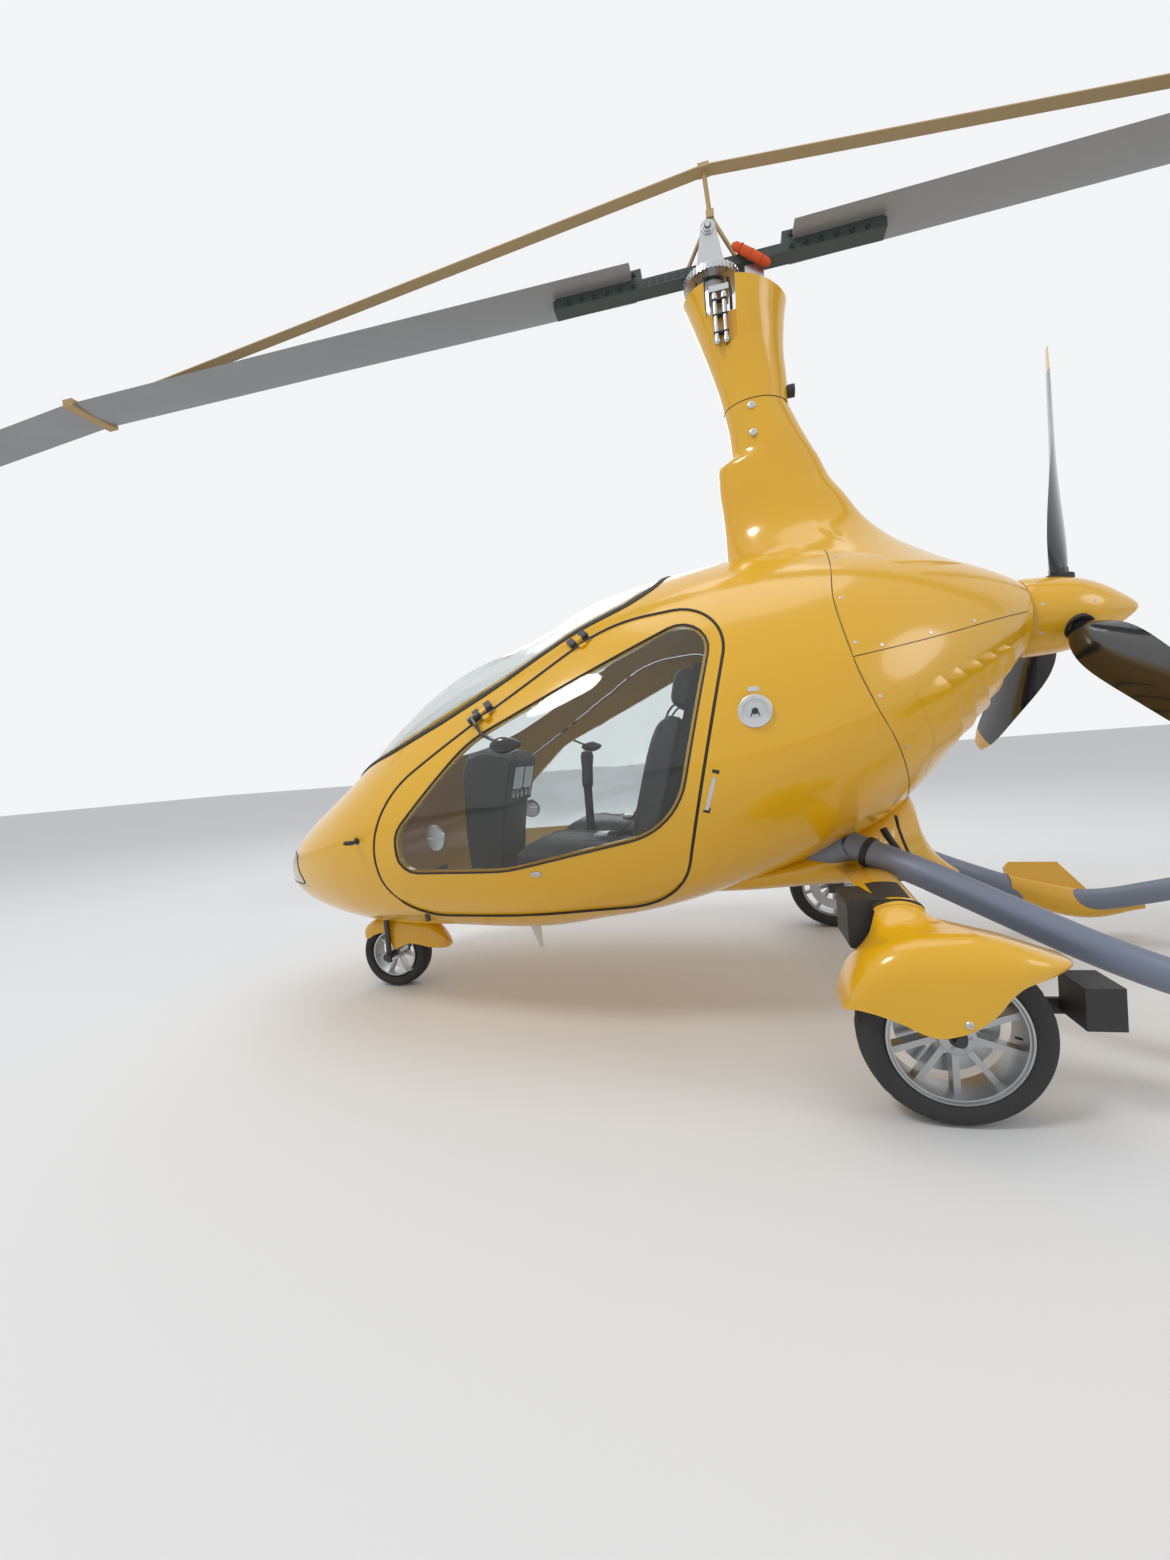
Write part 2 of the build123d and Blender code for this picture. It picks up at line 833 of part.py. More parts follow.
# Hub bar, hung from the tower's bolt, with the blades' clamps
half_bar = hub_bar_width / 2
with BuildPart() as hub_bar:
    add(box_between((-hub_bar_half, -half_bar, hub_bar_low), (hub_bar_half, half_bar, hub_bar_top)))
    add(box_between((-16, -half_bar, hub_bar_top), (16, half_bar, tower_top + 14)))
    for side in (-1, 1):
        inner, outer = sorted((side * clamp_reach[0], side * clamp_reach[1]))
        add(box_between((inner, -half_bar, hub_bar_top), (outer, half_bar, clamp_top)))
    add(rod((0, -bolt_half, tower_top), (0, bolt_half, tower_top), bolt_r))
    add(blade_front, mode=Mode.SUBTRACT)
    add(blade_rear, mode=Mode.SUBTRACT)
save(hub_bar.part, "hub_bar")

# Brace that steadies the parked blades: post, straps and the sleeves round the blades
foot_z = hub_bar_top
with BuildPart() as rotor_brace:
    for foot_x in post_feet:
        add(rod((foot_x, 0, foot_z), (post_joint[0], 0, post_joint[1]), post_r))
    collar_low = (post_joint[0] - collar_half, -collar_half, post_joint[1] - collar_half)
    collar_high = (post_joint[0] + collar_half, collar_half, post_joint[1] + collar_half)
    add(box_between(collar_low, collar_high))
    add(rod((post_joint[0], 0, post_joint[1]), (0, 0, post_top), post_r + 1))
    add(box_between((-20, -strap_width / 2, post_top - 8), (20, strap_width / 2, post_top + 8)))
    for side in (-1, 1):
        strap_end = (side * strap_reach, sleeve_top)
        strap = [(0, post_top), strap_end, (strap_end[0], sleeve_top - strap_thick), (0, post_top - strap_thick)]
        add(plain_block(strap, -strap_width / 2, strap_width / 2))
        sleeve_low = (side * strap_reach - sleeve_half, -sleeve_reach, sleeve_bottom)
        sleeve_high = (side * strap_reach + sleeve_half, sleeve_reach, sleeve_top)
        add(box_between(sleeve_low, sleeve_high))
    add(blade_front, mode=Mode.SUBTRACT)
    add(blade_rear, mode=Mode.SUBTRACT)
    add(hub_bar.part, mode=Mode.SUBTRACT)
save(rotor_brace.part, "rotor_brace")

# Propeller
def prop_frame(number):
    """A propeller blade's centre, its direction outward and the direction across it."""
    angle = radians(360 * number / prop_count)
    return Vector(prop_plane_x, 0, prop_z), Vector(0, sin(angle), cos(angle)), Vector(0, cos(angle), -sin(angle))


def prop_blade(number):
    """A propeller blade through lens shaped sections."""
    centre, outward, across = prop_frame(number)
    with BuildPart(mode=Mode.PRIVATE) as blade:
        for radius, chord, thick, pitch in prop_sections:
            chord_dir = across * cos(radians(pitch)) + Vector(1, 0, 0) * sin(radians(pitch))
            with BuildSketch(Plane(origin=tuple(centre + outward * radius), x_dir=chord_dir, z_dir=outward)):
                with BuildLine():
                    ThreePointArc((-chord / 2, 0), (-0.1 * chord, thick / 2), (chord / 2, 0))
                    ThreePointArc((chord / 2, 0), (-0.1 * chord, -thick / 2), (-chord / 2, 0))
                make_face()
        loft()
    return blade.part


with BuildPart() as propeller:
    add(rod((spinner_start + plate_thick, 0, prop_z), (prop_hub_end, 0, prop_z), prop_hub_r))
    for number in range(prop_count):
        centre, outward, across = prop_frame(number)
        root_ends = [tuple(centre + outward * reach) for reach in prop_root_reach]
        add(rod(*root_ends, prop_root_r))
        add(prop_blade(number))
    add(rod((spinner_start, 0, prop_z), (prop_hub_end, 0, prop_z), prop_shaft_r + shaft_play), mode=Mode.SUBTRACT)
save(propeller.part, "propeller")


def spinner_form(inset):
    """The spinner's outer form, brought in by inset."""
    with BuildPart(mode=Mode.PRIVATE) as form:
        with BuildSketch(Plane.XZ):
            with BuildLine():
                Polyline((spinner_shoulder, prop_z + spinner_r - inset), (spinner_start, prop_z + spinner_r - inset))
                Polyline((spinner_start, prop_z + spinner_r - inset), (spinner_start, prop_z))
                Polyline((spinner_start, prop_z), (spinner_tip - inset, prop_z))
                ThreePointArc(
                    (spinner_tip - inset, prop_z),
                    ((spinner_shoulder + spinner_tip) / 2 + spinner_bulge[0], prop_z + spinner_bulge[1] * spinner_r - inset),
                    (spinner_shoulder, prop_z + spinner_r - inset),
                )
            make_face()
        revolve(axis=Axis((0, 0, prop_z), (1, 0, 0)))
    return form.part


with BuildPart() as spinner:
    add(spinner_form(0))
    add(spinner_form(spinner_wall), mode=Mode.SUBTRACT)
    add(rod((spinner_start, 0, prop_z), (spinner_start + plate_thick, 0, prop_z), spinner_r - spinner_wall))
    plate_bore = rod(
        (spinner_start, 0, prop_z),
        (spinner_start + plate_thick, 0, prop_z),
        prop_shaft_r + shaft_play,
    )
    add(plate_bore, mode=Mode.SUBTRACT)
    for number in range(prop_count):
        centre, outward, across = prop_frame(number)
        hole_ends = [tuple(centre + outward * reach) for reach in spinner_hole_reach]
        add(rod(*hole_ends, prop_root_r + prop_root_play), mode=Mode.SUBTRACT)
save(spinner.part, "spinner")

# Gear bow and tail booms
with BuildPart() as boom_blank:
    with BuildLine() as boom_path:
        FilletPolyline(*boom_corners, radius=boom_bends)
    boom_start = Vector(*boom_corners[0])
    with BuildSketch(Plane(origin=boom_corners[0], z_dir=Vector(*boom_corners[1]) - boom_start)):
        Circle(boom_r)
    sweep(path=boom_path.line)

with BuildPart() as tail_booms:
    add(boom_blank.part)
    add(outer_form, mode=Mode.SUBTRACT)
    mirror(about=Plane.XZ)
save(tail_booms.part, "tail_booms")

with BuildPart() as gear_bow:
    for y, front_x, chord, z in bow_sections:
        with BuildSketch(Plane.XZ.offset(-y)):
            with Locations((front_x + chord / 2, z)):
                Ellipse(chord / 2, bow_thick / 2)
    loft(ruled=True)
    add(tail_booms.part, mode=Mode.SUBTRACT)
save(gear_bow.part, "gear_bow")

with BuildPart() as keel_fairing:
    add(oval_form(keel_stations, ruled=True))
    add(outer_form, mode=Mode.SUBTRACT)
    add(gear_bow.part, mode=Mode.SUBTRACT)
    add(tail_booms.part, mode=Mode.SUBTRACT)
save(keel_fairing.part, "keel_fairing")

with BuildPart() as boom_roots:
    root_run = Vector(*boom_corners[0]) - Vector(*root_start)
    with BuildSketch(Plane(origin=root_start, z_dir=root_run)):
        Circle(root_r[0])
    with BuildSketch(Plane(origin=boom_corners[0], z_dir=root_run)):
        Circle(root_r[1])
    loft()
    mirror(about=Plane.XZ)
    add(outer_form, mode=Mode.SUBTRACT)
    add(keel_fairing.part, mode=Mode.SUBTRACT)
    add(tail_booms.part, mode=Mode.SUBTRACT)
    add(gear_bow.part, mode=Mode.SUBTRACT)
save(boom_roots.part, "boom_roots")

# Bullet fairings round the booms' low points, each with a stub fin
cant = radians(stub_cant)
stub_plane = Plane(origin=stub_root, x_dir=(1, 0, 0), z_dir=(0, -cos(cant), -sin(cant)))
with BuildPart() as boom_fairings:
    for x, y, z, radius in bullet_stations:
        with BuildSketch(Plane.YZ.offset(x)):
            with Locations((y, z)):
                Circle(radius)
    loft()
    with BuildSketch(stub_plane):
        with BuildLine():
            Polyline(*stub_corners, close=True)
        make_face()
    extrude(amount=stub_thick / 2, both=True)
    mirror(about=Plane.XZ)
    add(tail_booms.part, mode=Mode.SUBTRACT)
save(boom_fairings.part, "boom_fairings")


# Wheel pants, open below and inboard
def pant_form(inset, drop):
    """The pant's form, brought in by inset and with its lower edge let down by drop."""
    first_x = pant_stations[0][0]
    last_x = pant_stations[-1][0]
    with BuildPart(mode=Mode.PRIVATE) as form:
        for x, reach, top, side_z, low in pant_stations:
            station_x = x + inset if x == first_x else x - inset if x == last_x else x
            outer_y = -pant_inner_y - reach + inset
            with BuildSketch(Plane.YZ.offset(station_x)):
                with BuildLine():
                    EllipticalCenterArc((-pant_inner_y, side_z), reach - inset, top - side_z - inset, 90, arc_size=90)
                    Polyline(
                        (outer_y, side_z),
                        (outer_y, low - drop),
                        (-pant_inner_y, low - drop),
                        (-pant_inner_y, top - inset),
                    )
                make_face()
        loft()
    return form.part


with BuildPart() as wheel_pants:
    add(pant_form(0, 0))
    add(level_form(neck_levels, 0, -neck_y))
    add(pant_form(pant_wall, 10), mode=Mode.SUBTRACT)
    add(box_between((0, -pant_inner_y, 0), (1000, 0, 700)), mode=Mode.SUBTRACT)
    add(gear_bow.part, mode=Mode.SUBTRACT)
    mirror(about=Plane.XZ)
save(wheel_pants.part, "wheel_pants")

# Plates from the bow down to the axles, with the axles
carrier_half = carrier_thick / 2
carrier_outline = [
    (carrier_top_x[0], carrier_top),
    (carrier_top_x[1], carrier_top),
    (main_x + carrier_bottom_r, main_r + carrier_waist),
    (main_x + carrier_bottom_r, main_r - carrier_bottom_r),
    (main_x - carrier_bottom_r, main_r - carrier_bottom_r),
    (main_x - carrier_bottom_r, main_r + carrier_waist),
]
with BuildPart() as axle_carriers:
    add(plain_block(carrier_outline, -carrier_y - carrier_half, -carrier_y + carrier_half))
    hub_side = main_y - main_hub_width / 2 - hub_side_play
    hub_end = main_y + main_hub_width / 2 + hub_side_play
    add(rod((main_x, -carrier_y, main_r), (main_x, -hub_side, main_r), axle_shoulder_r))
    add(rod((main_x, -carrier_y, main_r), (main_x, -axle_end_y, main_r), main_axle_r))
    add(rod((main_x, -hub_end, main_r), (main_x, -hub_end - 12, main_r), axle_nut_r))
    add(gear_bow.part, mode=Mode.SUBTRACT)
    mirror(about=Plane.XZ)
save(axle_carriers.part, "axle_carriers")

# Drive boxes below the bow, and the brackets behind the wheels
with BuildPart() as drive_boxes:
    add(box_between(drive_box_low, drive_box_high))
    fillet(drive_boxes.edges().filter_by(Axis.Y), 12)
    add(gear_bow.part, mode=Mode.SUBTRACT)
    mirror(about=Plane.XZ)
save(drive_boxes.part, "drive_boxes")

with BuildPart() as rear_brackets:
    bar_low = (main_x + carrier_bottom_r, -carrier_y - carrier_half, tail_bar_z[0])
    add(box_between(bar_low, (bracket_x[1], -carrier_y + carrier_half, tail_bar_z[1])))
    plate_high = (bracket_x[1], -carrier_y - carrier_half, bracket_z[1])
    add(box_between((bracket_x[0], -bracket_outer_y, bracket_z[0]), plate_high))
    mirror(about=Plane.XZ)
save(rear_brackets.part, "rear_brackets")

# Main wheels
main_centre = (main_x, -main_y, main_r)
save_pair(tyre(main_centre, main_r, main_rim_r, tyre_width), "main_tyre")
save_pair(
    rim(main_centre, main_rim_r, main_rim_width, main_hub_r, main_hub_width, main_axle_r + axle_play, main_spokes),
    "main_rim",
)

# Nose wheel, fork and mudguard
nose_centre = (nose_x, 0, nose_r)
save(tyre(nose_centre, nose_r, nose_rim_r, nose_tyre_width), "nose_tyre")
nose_bore_r = nose_axle_r + axle_play
save(rim(nose_centre, nose_rim_r, nose_rim_width, nose_hub_r, nose_hub_width, nose_bore_r, nose_spokes), "nose_rim")

crown_top = crown_low + crown_thick
with BuildPart() as nose_fork:
    crown_x = (nose_x - crown_half_length, nose_x + crown_half_length)
    crown_y = fork_half + fork_leg_r
    add(box_between((crown_x[0], -crown_y, crown_low), (crown_x[1], crown_y, crown_top)))
    add(rod((nose_x, 0, crown_low), (nose_x, 0, stem_top), stem_r))
    for side in (-1, 1):
        add(rod((nose_x, side * fork_half, crown_low + 5), (nose_x, side * fork_half, nose_r - 25), fork_leg_r))
        spacer_start = side * (nose_hub_width / 2 + hub_side_play)
        add(rod((nose_x, spacer_start, nose_r), (nose_x, side * fork_half, nose_r), nose_axle_r + 5))
        pin_start, pin_end = side * (fork_half + fork_leg_r + 1), side * (fork_half + tow_pin_reach)
        add(rod((nose_x, side * fork_half, nose_r), (nose_x, pin_end, nose_r), nose_axle_r))
        add(rod((nose_x, pin_start, nose_r), (nose_x, pin_end, nose_r), tow_pin_left_r if side < 0 else tow_pin_right_r))
    add(rod((nose_x, -fork_half, nose_r), (nose_x, fork_half, nose_r), nose_axle_r))
save(nose_fork.part, "nose_fork")

with BuildPart() as nose_mudguard:
    with BuildSketch(Plane.XZ.offset(-fender_width / 2)):
        with BuildLine():
            ThreePointArc(*fender_arc)
            inner_arc = [(x + (nose_x - x) * 0.02, z - fender_thick) for x, z in fender_arc]
            Line(fender_arc[2], inner_arc[2])
            ThreePointArc(*reversed(inner_arc))
            Line(inner_arc[0], fender_arc[0])
        make_face()
    extrude(amount=fender_width)
    for side in (-1, 1):
        tab_y = sorted((side * (fender_width / 2 - 2), side * fork_half))
        tab_low = (nose_x - tab_half, tab_y[0], tab_z[0])
        add(box_between(tab_low, (nose_x + tab_half, tab_y[1], tab_z[1])))
    add(nose_fork.part, mode=Mode.SUBTRACT)
save(nose_mudguard.part, "nose_mudguard")

# Tail unit
with BuildPart() as tailplane:
    lead = tailplane_front
    trail = tailplane_front + tailplane_chord
    middle = lead + 0.35 * tailplane_chord
    with BuildSketch(Plane.XZ.offset(-tailplane_half)):
        with BuildLine():
            ThreePointArc((lead, tailplane_z), (middle, tailplane_z + tailplane_thick / 2), (trail, tailplane_z))
            ThreePointArc((trail, tailplane_z), (middle, tailplane_z - tailplane_thick / 2), (lead, tailplane_z))
        make_face()
    extrude(amount=2 * tailplane_half)
    boom_end_y = boom_corners[-1][1]
    boom_end_z = boom_corners[-1][2]
    for side in (-1, 1):
        saddle_y = side * boom_end_y
        add(
            box_between(
                (lead + 60, saddle_y - saddle_half, boom_end_z),
                (trail - 60, saddle_y + saddle_half, tailplane_z),
            )
        )
    add(tail_booms.part, mode=Mode.SUBTRACT)
save(tailplane.part, "tailplane")

with BuildPart() as outer_fins:
    add(fin_form(outer_fin_levels, -outer_fin_y, outer_fin_thick))
    mirror(about=Plane.XZ)
    add(tailplane.part, mode=Mode.SUBTRACT)
save(outer_fins.part, "outer_fins")

with BuildPart() as centre_fin:
    add(fin_form(centre_fin_levels, 0, fin_thick))
    fin_trail = centre_fin_levels[0][2]
    for z in rudder_lugs:
        lug_low = (fin_trail - 30, -lug_size, z - lug_size)
        add(box_between(lug_low, (rudder_hinge_x, lug_size, z + lug_size)))
        add(rod((rudder_hinge_x, 0, z - lug_size), (rudder_hinge_x, 0, z + lug_size), lug_size))
    pin_hole = rod(
        (rudder_hinge_x, 0, rudder_lugs[0] - 40),
        (rudder_hinge_x, 0, rudder_lugs[-1] + 40),
        rudder_pin_r + shaft_play,
    )
    add(pin_hole, mode=Mode.SUBTRACT)
    add(tailplane.part, mode=Mode.SUBTRACT)
save(centre_fin.part, "centre_fin")

with BuildPart() as rudder:
    add(fin_form(rudder_levels, 0, fin_thick))
    add(rod((rudder_hinge_x, 0, rudder_lugs[0] - 45), (rudder_hinge_x, 0, rudder_lugs[-1] + 45), rudder_pin_r))
    rudder_lead = rudder_levels[0][1]
    for z in rudder_lugs:
        for arm_z in (z - arm_shift, z + arm_shift):
            arm_low = (rudder_hinge_x, -arm_half, arm_z - arm_half)
            add(box_between(arm_low, (rudder_lead + 40, arm_half, arm_z + arm_half)))
            add(rod((rudder_hinge_x, 0, arm_z - arm_half), (rudder_hinge_x, 0, arm_z + arm_half), lug_size))
save(rudder.part, "rudder")

# Fuel filler cap
with BuildPart() as filler_cap:
    inner_end = (filler_centre[0], filler_centre[1] + 30, filler_centre[2] - 6)
    outer_end = (filler_centre[0], filler_centre[1] - 4, filler_centre[2])
    add(rod(inner_end, outer_end, filler_r))
    add(outer_form, mode=Mode.SUBTRACT)
save(filler_cap.part, "filler_cap")
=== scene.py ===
import json
import math
import random
from bisect import bisect_right

import bmesh
import bpy
from mathutils import Matrix, Vector
from mathutils.bvhtree import BVHTree


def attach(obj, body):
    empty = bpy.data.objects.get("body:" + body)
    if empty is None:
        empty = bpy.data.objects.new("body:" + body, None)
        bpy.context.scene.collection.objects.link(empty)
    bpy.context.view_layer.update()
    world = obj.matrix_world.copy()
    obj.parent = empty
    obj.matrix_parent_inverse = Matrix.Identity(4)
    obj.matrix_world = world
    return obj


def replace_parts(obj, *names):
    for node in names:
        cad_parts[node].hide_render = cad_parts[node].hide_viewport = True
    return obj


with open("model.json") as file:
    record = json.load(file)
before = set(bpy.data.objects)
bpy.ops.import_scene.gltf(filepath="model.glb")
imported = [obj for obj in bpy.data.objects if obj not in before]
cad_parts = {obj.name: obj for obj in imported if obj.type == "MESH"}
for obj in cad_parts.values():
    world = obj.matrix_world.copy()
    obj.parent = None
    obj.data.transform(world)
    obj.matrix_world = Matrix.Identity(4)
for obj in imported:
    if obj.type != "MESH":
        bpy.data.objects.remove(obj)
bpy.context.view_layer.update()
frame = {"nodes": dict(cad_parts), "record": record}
nodes = frame["nodes"]
random.seed(7)

# Metres, +X aft, +Y starboard, +Z up. Port is the camera's side.


# Camera

cameraSetup = {
    "place": (-0.0613, -2.3719, 0.9102),
    "yaw": -0.2313327,
    "pitch": -0.0332270,
    "roll": -0.0784643,
    "focalPixels": 610.716,
    "photoHeight": 1560,
    "sensor": 36.0,
}


def makeCamera():
    setup = cameraSetup
    yaw, pitch, roll = setup["yaw"], setup["pitch"], setup["roll"]
    ahead = Vector((math.sin(yaw), math.cos(yaw), 0))
    right = Vector((math.cos(yaw), -math.sin(yaw), 0))
    up = Vector((0, 0, 1))
    look = ahead * math.cos(pitch) + up * math.sin(pitch)
    lift = up * math.cos(pitch) - ahead * math.sin(pitch)
    side = right * math.cos(roll) + lift * math.sin(roll)
    top = lift * math.cos(roll) - right * math.sin(roll)
    data = bpy.data.cameras.new("photoCamera")
    data.sensor_fit = "VERTICAL"
    data.sensor_height = setup["sensor"]
    data.lens = setup["focalPixels"] * setup["sensor"] / setup["photoHeight"]
    data.clip_end = 200
    camera = bpy.data.objects.new("photoCamera", data)
    bpy.context.scene.collection.objects.link(camera)
    turn = Matrix((side, top, -look)).transposed().to_4x4()
    camera.matrix_world = Matrix.Translation(setup["place"]) @ turn
    bpy.context.scene.camera = camera
    return {"look": look, "side": side, "top": top}


# Light and floor

studio = {
    "floorColour": (0.80, 0.80, 0.79),
    "worldColour": (0.93, 0.95, 1.0),
    "worldStrength": 0.62,
    "lamps": [
        # name, place, aim, size, power
        ("keyLamp", (-4.6, -4.6, 8.4), (0, 0, 0.9), 2.4, 260),
        ("skyLamp", (0.5, 0.5, 8.5), (0, 0, 0), 6.0, 120),
        ("sternLamp", (7.0, -3.0, 4.0), (1.0, 0, 0.8), 3.0, 60),
        ("farLamp", (-2.0, 7.0, 4.5), (0, 0, 1.0), 4.0, 60),
    ],
}


def makeStudio():
    scene = bpy.context.scene
    scene.view_settings.view_transform = "Standard"
    world = bpy.data.worlds.new("studioWorld")
    world.use_nodes = True
    links = world.node_tree.links
    treeNodes = world.node_tree.nodes
    background = treeNodes["Background"]
    background.inputs["Color"].default_value = (*studio["worldColour"], 1)
    background.inputs["Strength"].default_value = studio["worldStrength"]
    seen = treeNodes.new("ShaderNodeBackground")
    seen.inputs["Color"].default_value = (0.9, 0.91, 0.92, 1)
    seen.inputs["Strength"].default_value = 1.0
    ray = treeNodes.new("ShaderNodeLightPath")
    last = ray.outputs["Is Camera Ray"]
    for kind in ("Is Transmission Ray", "Is Glossy Ray"):
        either = treeNodes.new("ShaderNodeMath")
        either.operation = "MAXIMUM"
        links.new(last, either.inputs[0])
        links.new(ray.outputs[kind], either.inputs[1])
        last = either.outputs[0]
    mix = treeNodes.new("ShaderNodeMixShader")
    links.new(last, mix.inputs["Fac"])
    links.new(background.outputs[0], mix.inputs[1])
    links.new(seen.outputs[0], mix.inputs[2])
    links.new(mix.outputs[0], treeNodes["World Output"].inputs["Surface"])
    scene.world = world

    for name, place, aim, size, power in studio["lamps"]:
        data = bpy.data.lights.new(name, "AREA")
        data.shape = "DISK"
        data.size = size
        data.energy = power
        lamp = bpy.data.objects.new(name, data)
        scene.collection.objects.link(lamp)
        lamp.location = place
        lamp.rotation_euler = (Vector(aim) - Vector(place)).to_track_quat("-Z", "Y").to_euler()

    mesh = bpy.data.meshes.new("studioFloor")
    reach = 60
    corners = [(-reach, -reach, 0), (reach, -reach, 0), (reach, reach, 0), (-reach, reach, 0)]
    mesh.from_pydata(corners, [], [(0, 1, 2, 3)])
    floor = bpy.data.objects.new("studioFloor", mesh)
    scene.collection.objects.link(floor)
    material = bpy.data.materials.new("floorPaint")
    material.use_nodes = True
    shader = material.node_tree.nodes["Principled BSDF"]
    shader.inputs["Base Color"].default_value = (*studio["floorColour"], 1)
    shader.inputs["Roughness"].default_value = 0.75
    mesh.materials.append(material)


# Shader groups that several materials share

def newGroup(name, inputs, outputs):
    group = bpy.data.node_groups.new(name, "ShaderNodeTree")
    for label, kind, value in inputs:
        socket = group.interface.new_socket(label, in_out="INPUT", socket_type=kind)
        socket.default_value = value
    for label, kind in outputs:
        group.interface.new_socket(label, in_out="OUTPUT", socket_type=kind)
    start = group.nodes.new("NodeGroupInput")
    end = group.nodes.new("NodeGroupOutput")
    return group, start, end


def makeToneGroup():
    # slow drift between two colours, with fine dust in the gloss
    group, start, end = newGroup(
        "surfaceTone",
        [
            ("Colour", "NodeSocketColor", (0.5, 0.5, 0.5, 1)),
            ("Second Colour", "NodeSocketColor", (0.4, 0.4, 0.4, 1)),
            ("Scale", "NodeSocketFloat", 3.0),
            ("Roughness", "NodeSocketFloat", 0.3),
            ("Roughness Spread", "NodeSocketFloat", 0.1),
        ],
        [("Colour", "NodeSocketColor"), ("Roughness", "NodeSocketFloat")],
    )
    place = group.nodes.new("ShaderNodeTexCoord")
    drift = group.nodes.new("ShaderNodeTexNoise")
    drift.inputs["Detail"].default_value = 4
    fine = group.nodes.new("ShaderNodeTexNoise")
    fine.inputs["Scale"].default_value = 60
    fine.inputs["Detail"].default_value = 3
    mix = group.nodes.new("ShaderNodeMix")
    mix.data_type = "RGBA"
    spread = group.nodes.new("ShaderNodeMath")
    spread.operation = "MULTIPLY_ADD"
    link = group.links.new
    link(place.outputs["Object"], drift.inputs["Vector"])
    link(place.outputs["Object"], fine.inputs["Vector"])
    link(start.outputs["Scale"], drift.inputs["Scale"])
    link(drift.outputs["Fac"], mix.inputs["Factor"])
    link(start.outputs["Colour"], mix.inputs["A"])
    link(start.outputs["Second Colour"], mix.inputs["B"])
    link(fine.outputs["Fac"], spread.inputs[0])
    link(start.outputs["Roughness Spread"], spread.inputs[1])
    link(start.outputs["Roughness"], spread.inputs[2])
    link(mix.outputs["Result"], end.inputs["Colour"])
    link(spread.outputs[0], end.inputs["Roughness"])
    return group


def makeGrainGroup():
    # small relief for moulded plastic, rubber, leather and castings
    group, start, end = newGroup(
        "surfaceGrain",
        [
            ("Scale", "NodeSocketFloat", 200.0),
            ("Strength", "NodeSocketFloat", 0.2),
            ("Cells", "NodeSocketFloat", 0.0),
        ],
        [("Normal", "NodeSocketVector")],
    )
    place = group.nodes.new("ShaderNodeTexCoord")
    noise = group.nodes.new("ShaderNodeTexNoise")
    noise.inputs["Detail"].default_value = 5
    cells = group.nodes.new("ShaderNodeTexVoronoi")
    mix = group.nodes.new("ShaderNodeMix")
    bump = group.nodes.new("ShaderNodeBump")
    bump.inputs["Distance"].default_value = 0.001
    link = group.links.new
    link(place.outputs["Object"], noise.inputs["Vector"])
    link(place.outputs["Object"], cells.inputs["Vector"])
    link(start.outputs["Scale"], noise.inputs["Scale"])
    link(start.outputs["Scale"], cells.inputs["Scale"])
    link(start.outputs["Cells"], mix.inputs["Factor"])
    link(noise.outputs["Fac"], mix.inputs["A"])
    link(cells.outputs["Distance"], mix.inputs["B"])
    link(mix.outputs["Result"], bump.inputs["Height"])
    link(start.outputs["Strength"], bump.inputs["Strength"])
    link(bump.outputs["Normal"], end.inputs["Normal"])
    return group


def makeWeaveGroup():
    # crossed threads for webbing and fabric
    group, start, end = newGroup(
        "threadWeave",
        [
            ("Colour", "NodeSocketColor", (0.3, 0.2, 0.1, 1)),
            ("Thread Colour", "NodeSocketColor", (0.2, 0.13, 0.08, 1)),
            ("Threads", "NodeSocketFloat", 500.0),
            ("Strength", "NodeSocketFloat", 0.5),
        ],
        [("Colour", "NodeSocketColor"), ("Normal", "NodeSocketVector")],
    )
    place = group.nodes.new("ShaderNodeTexCoord")
    waves = []
    for direction in ("X", "Y"):
        wave = group.nodes.new("ShaderNodeTexWave")
        wave.bands_direction = direction
        wave.inputs["Distortion"].default_value = 0.4
        group.links.new(place.outputs["Object"], wave.inputs["Vector"])
        group.links.new(start.outputs["Threads"], wave.inputs["Scale"])
        waves.append(wave)
    both = group.nodes.new("ShaderNodeMath")
    both.operation = "MULTIPLY"
    mix = group.nodes.new("ShaderNodeMix")
    mix.data_type = "RGBA"
    bump = group.nodes.new("ShaderNodeBump")
    bump.inputs["Distance"].default_value = 0.001
    link = group.links.new
    link(waves[0].outputs["Fac"], both.inputs[0])
    link(waves[1].outputs["Fac"], both.inputs[1])
    link(both.outputs[0], mix.inputs["Factor"])
    link(start.outputs["Colour"], mix.inputs["A"])
    link(start.outputs["Thread Colour"], mix.inputs["B"])
    link(both.outputs[0], bump.inputs["Height"])
    link(start.outputs["Strength"], bump.inputs["Strength"])
    link(mix.outputs["Result"], end.inputs["Colour"])
    link(bump.outputs["Normal"], end.inputs["Normal"])
    return group


toneGroup = makeToneGroup()
grainGroup = makeGrainGroup()
weaveGroup = makeWeaveGroup()
print("shader groups made")


# Materials: two colours that drift into each other, gloss, metal, coat and relief

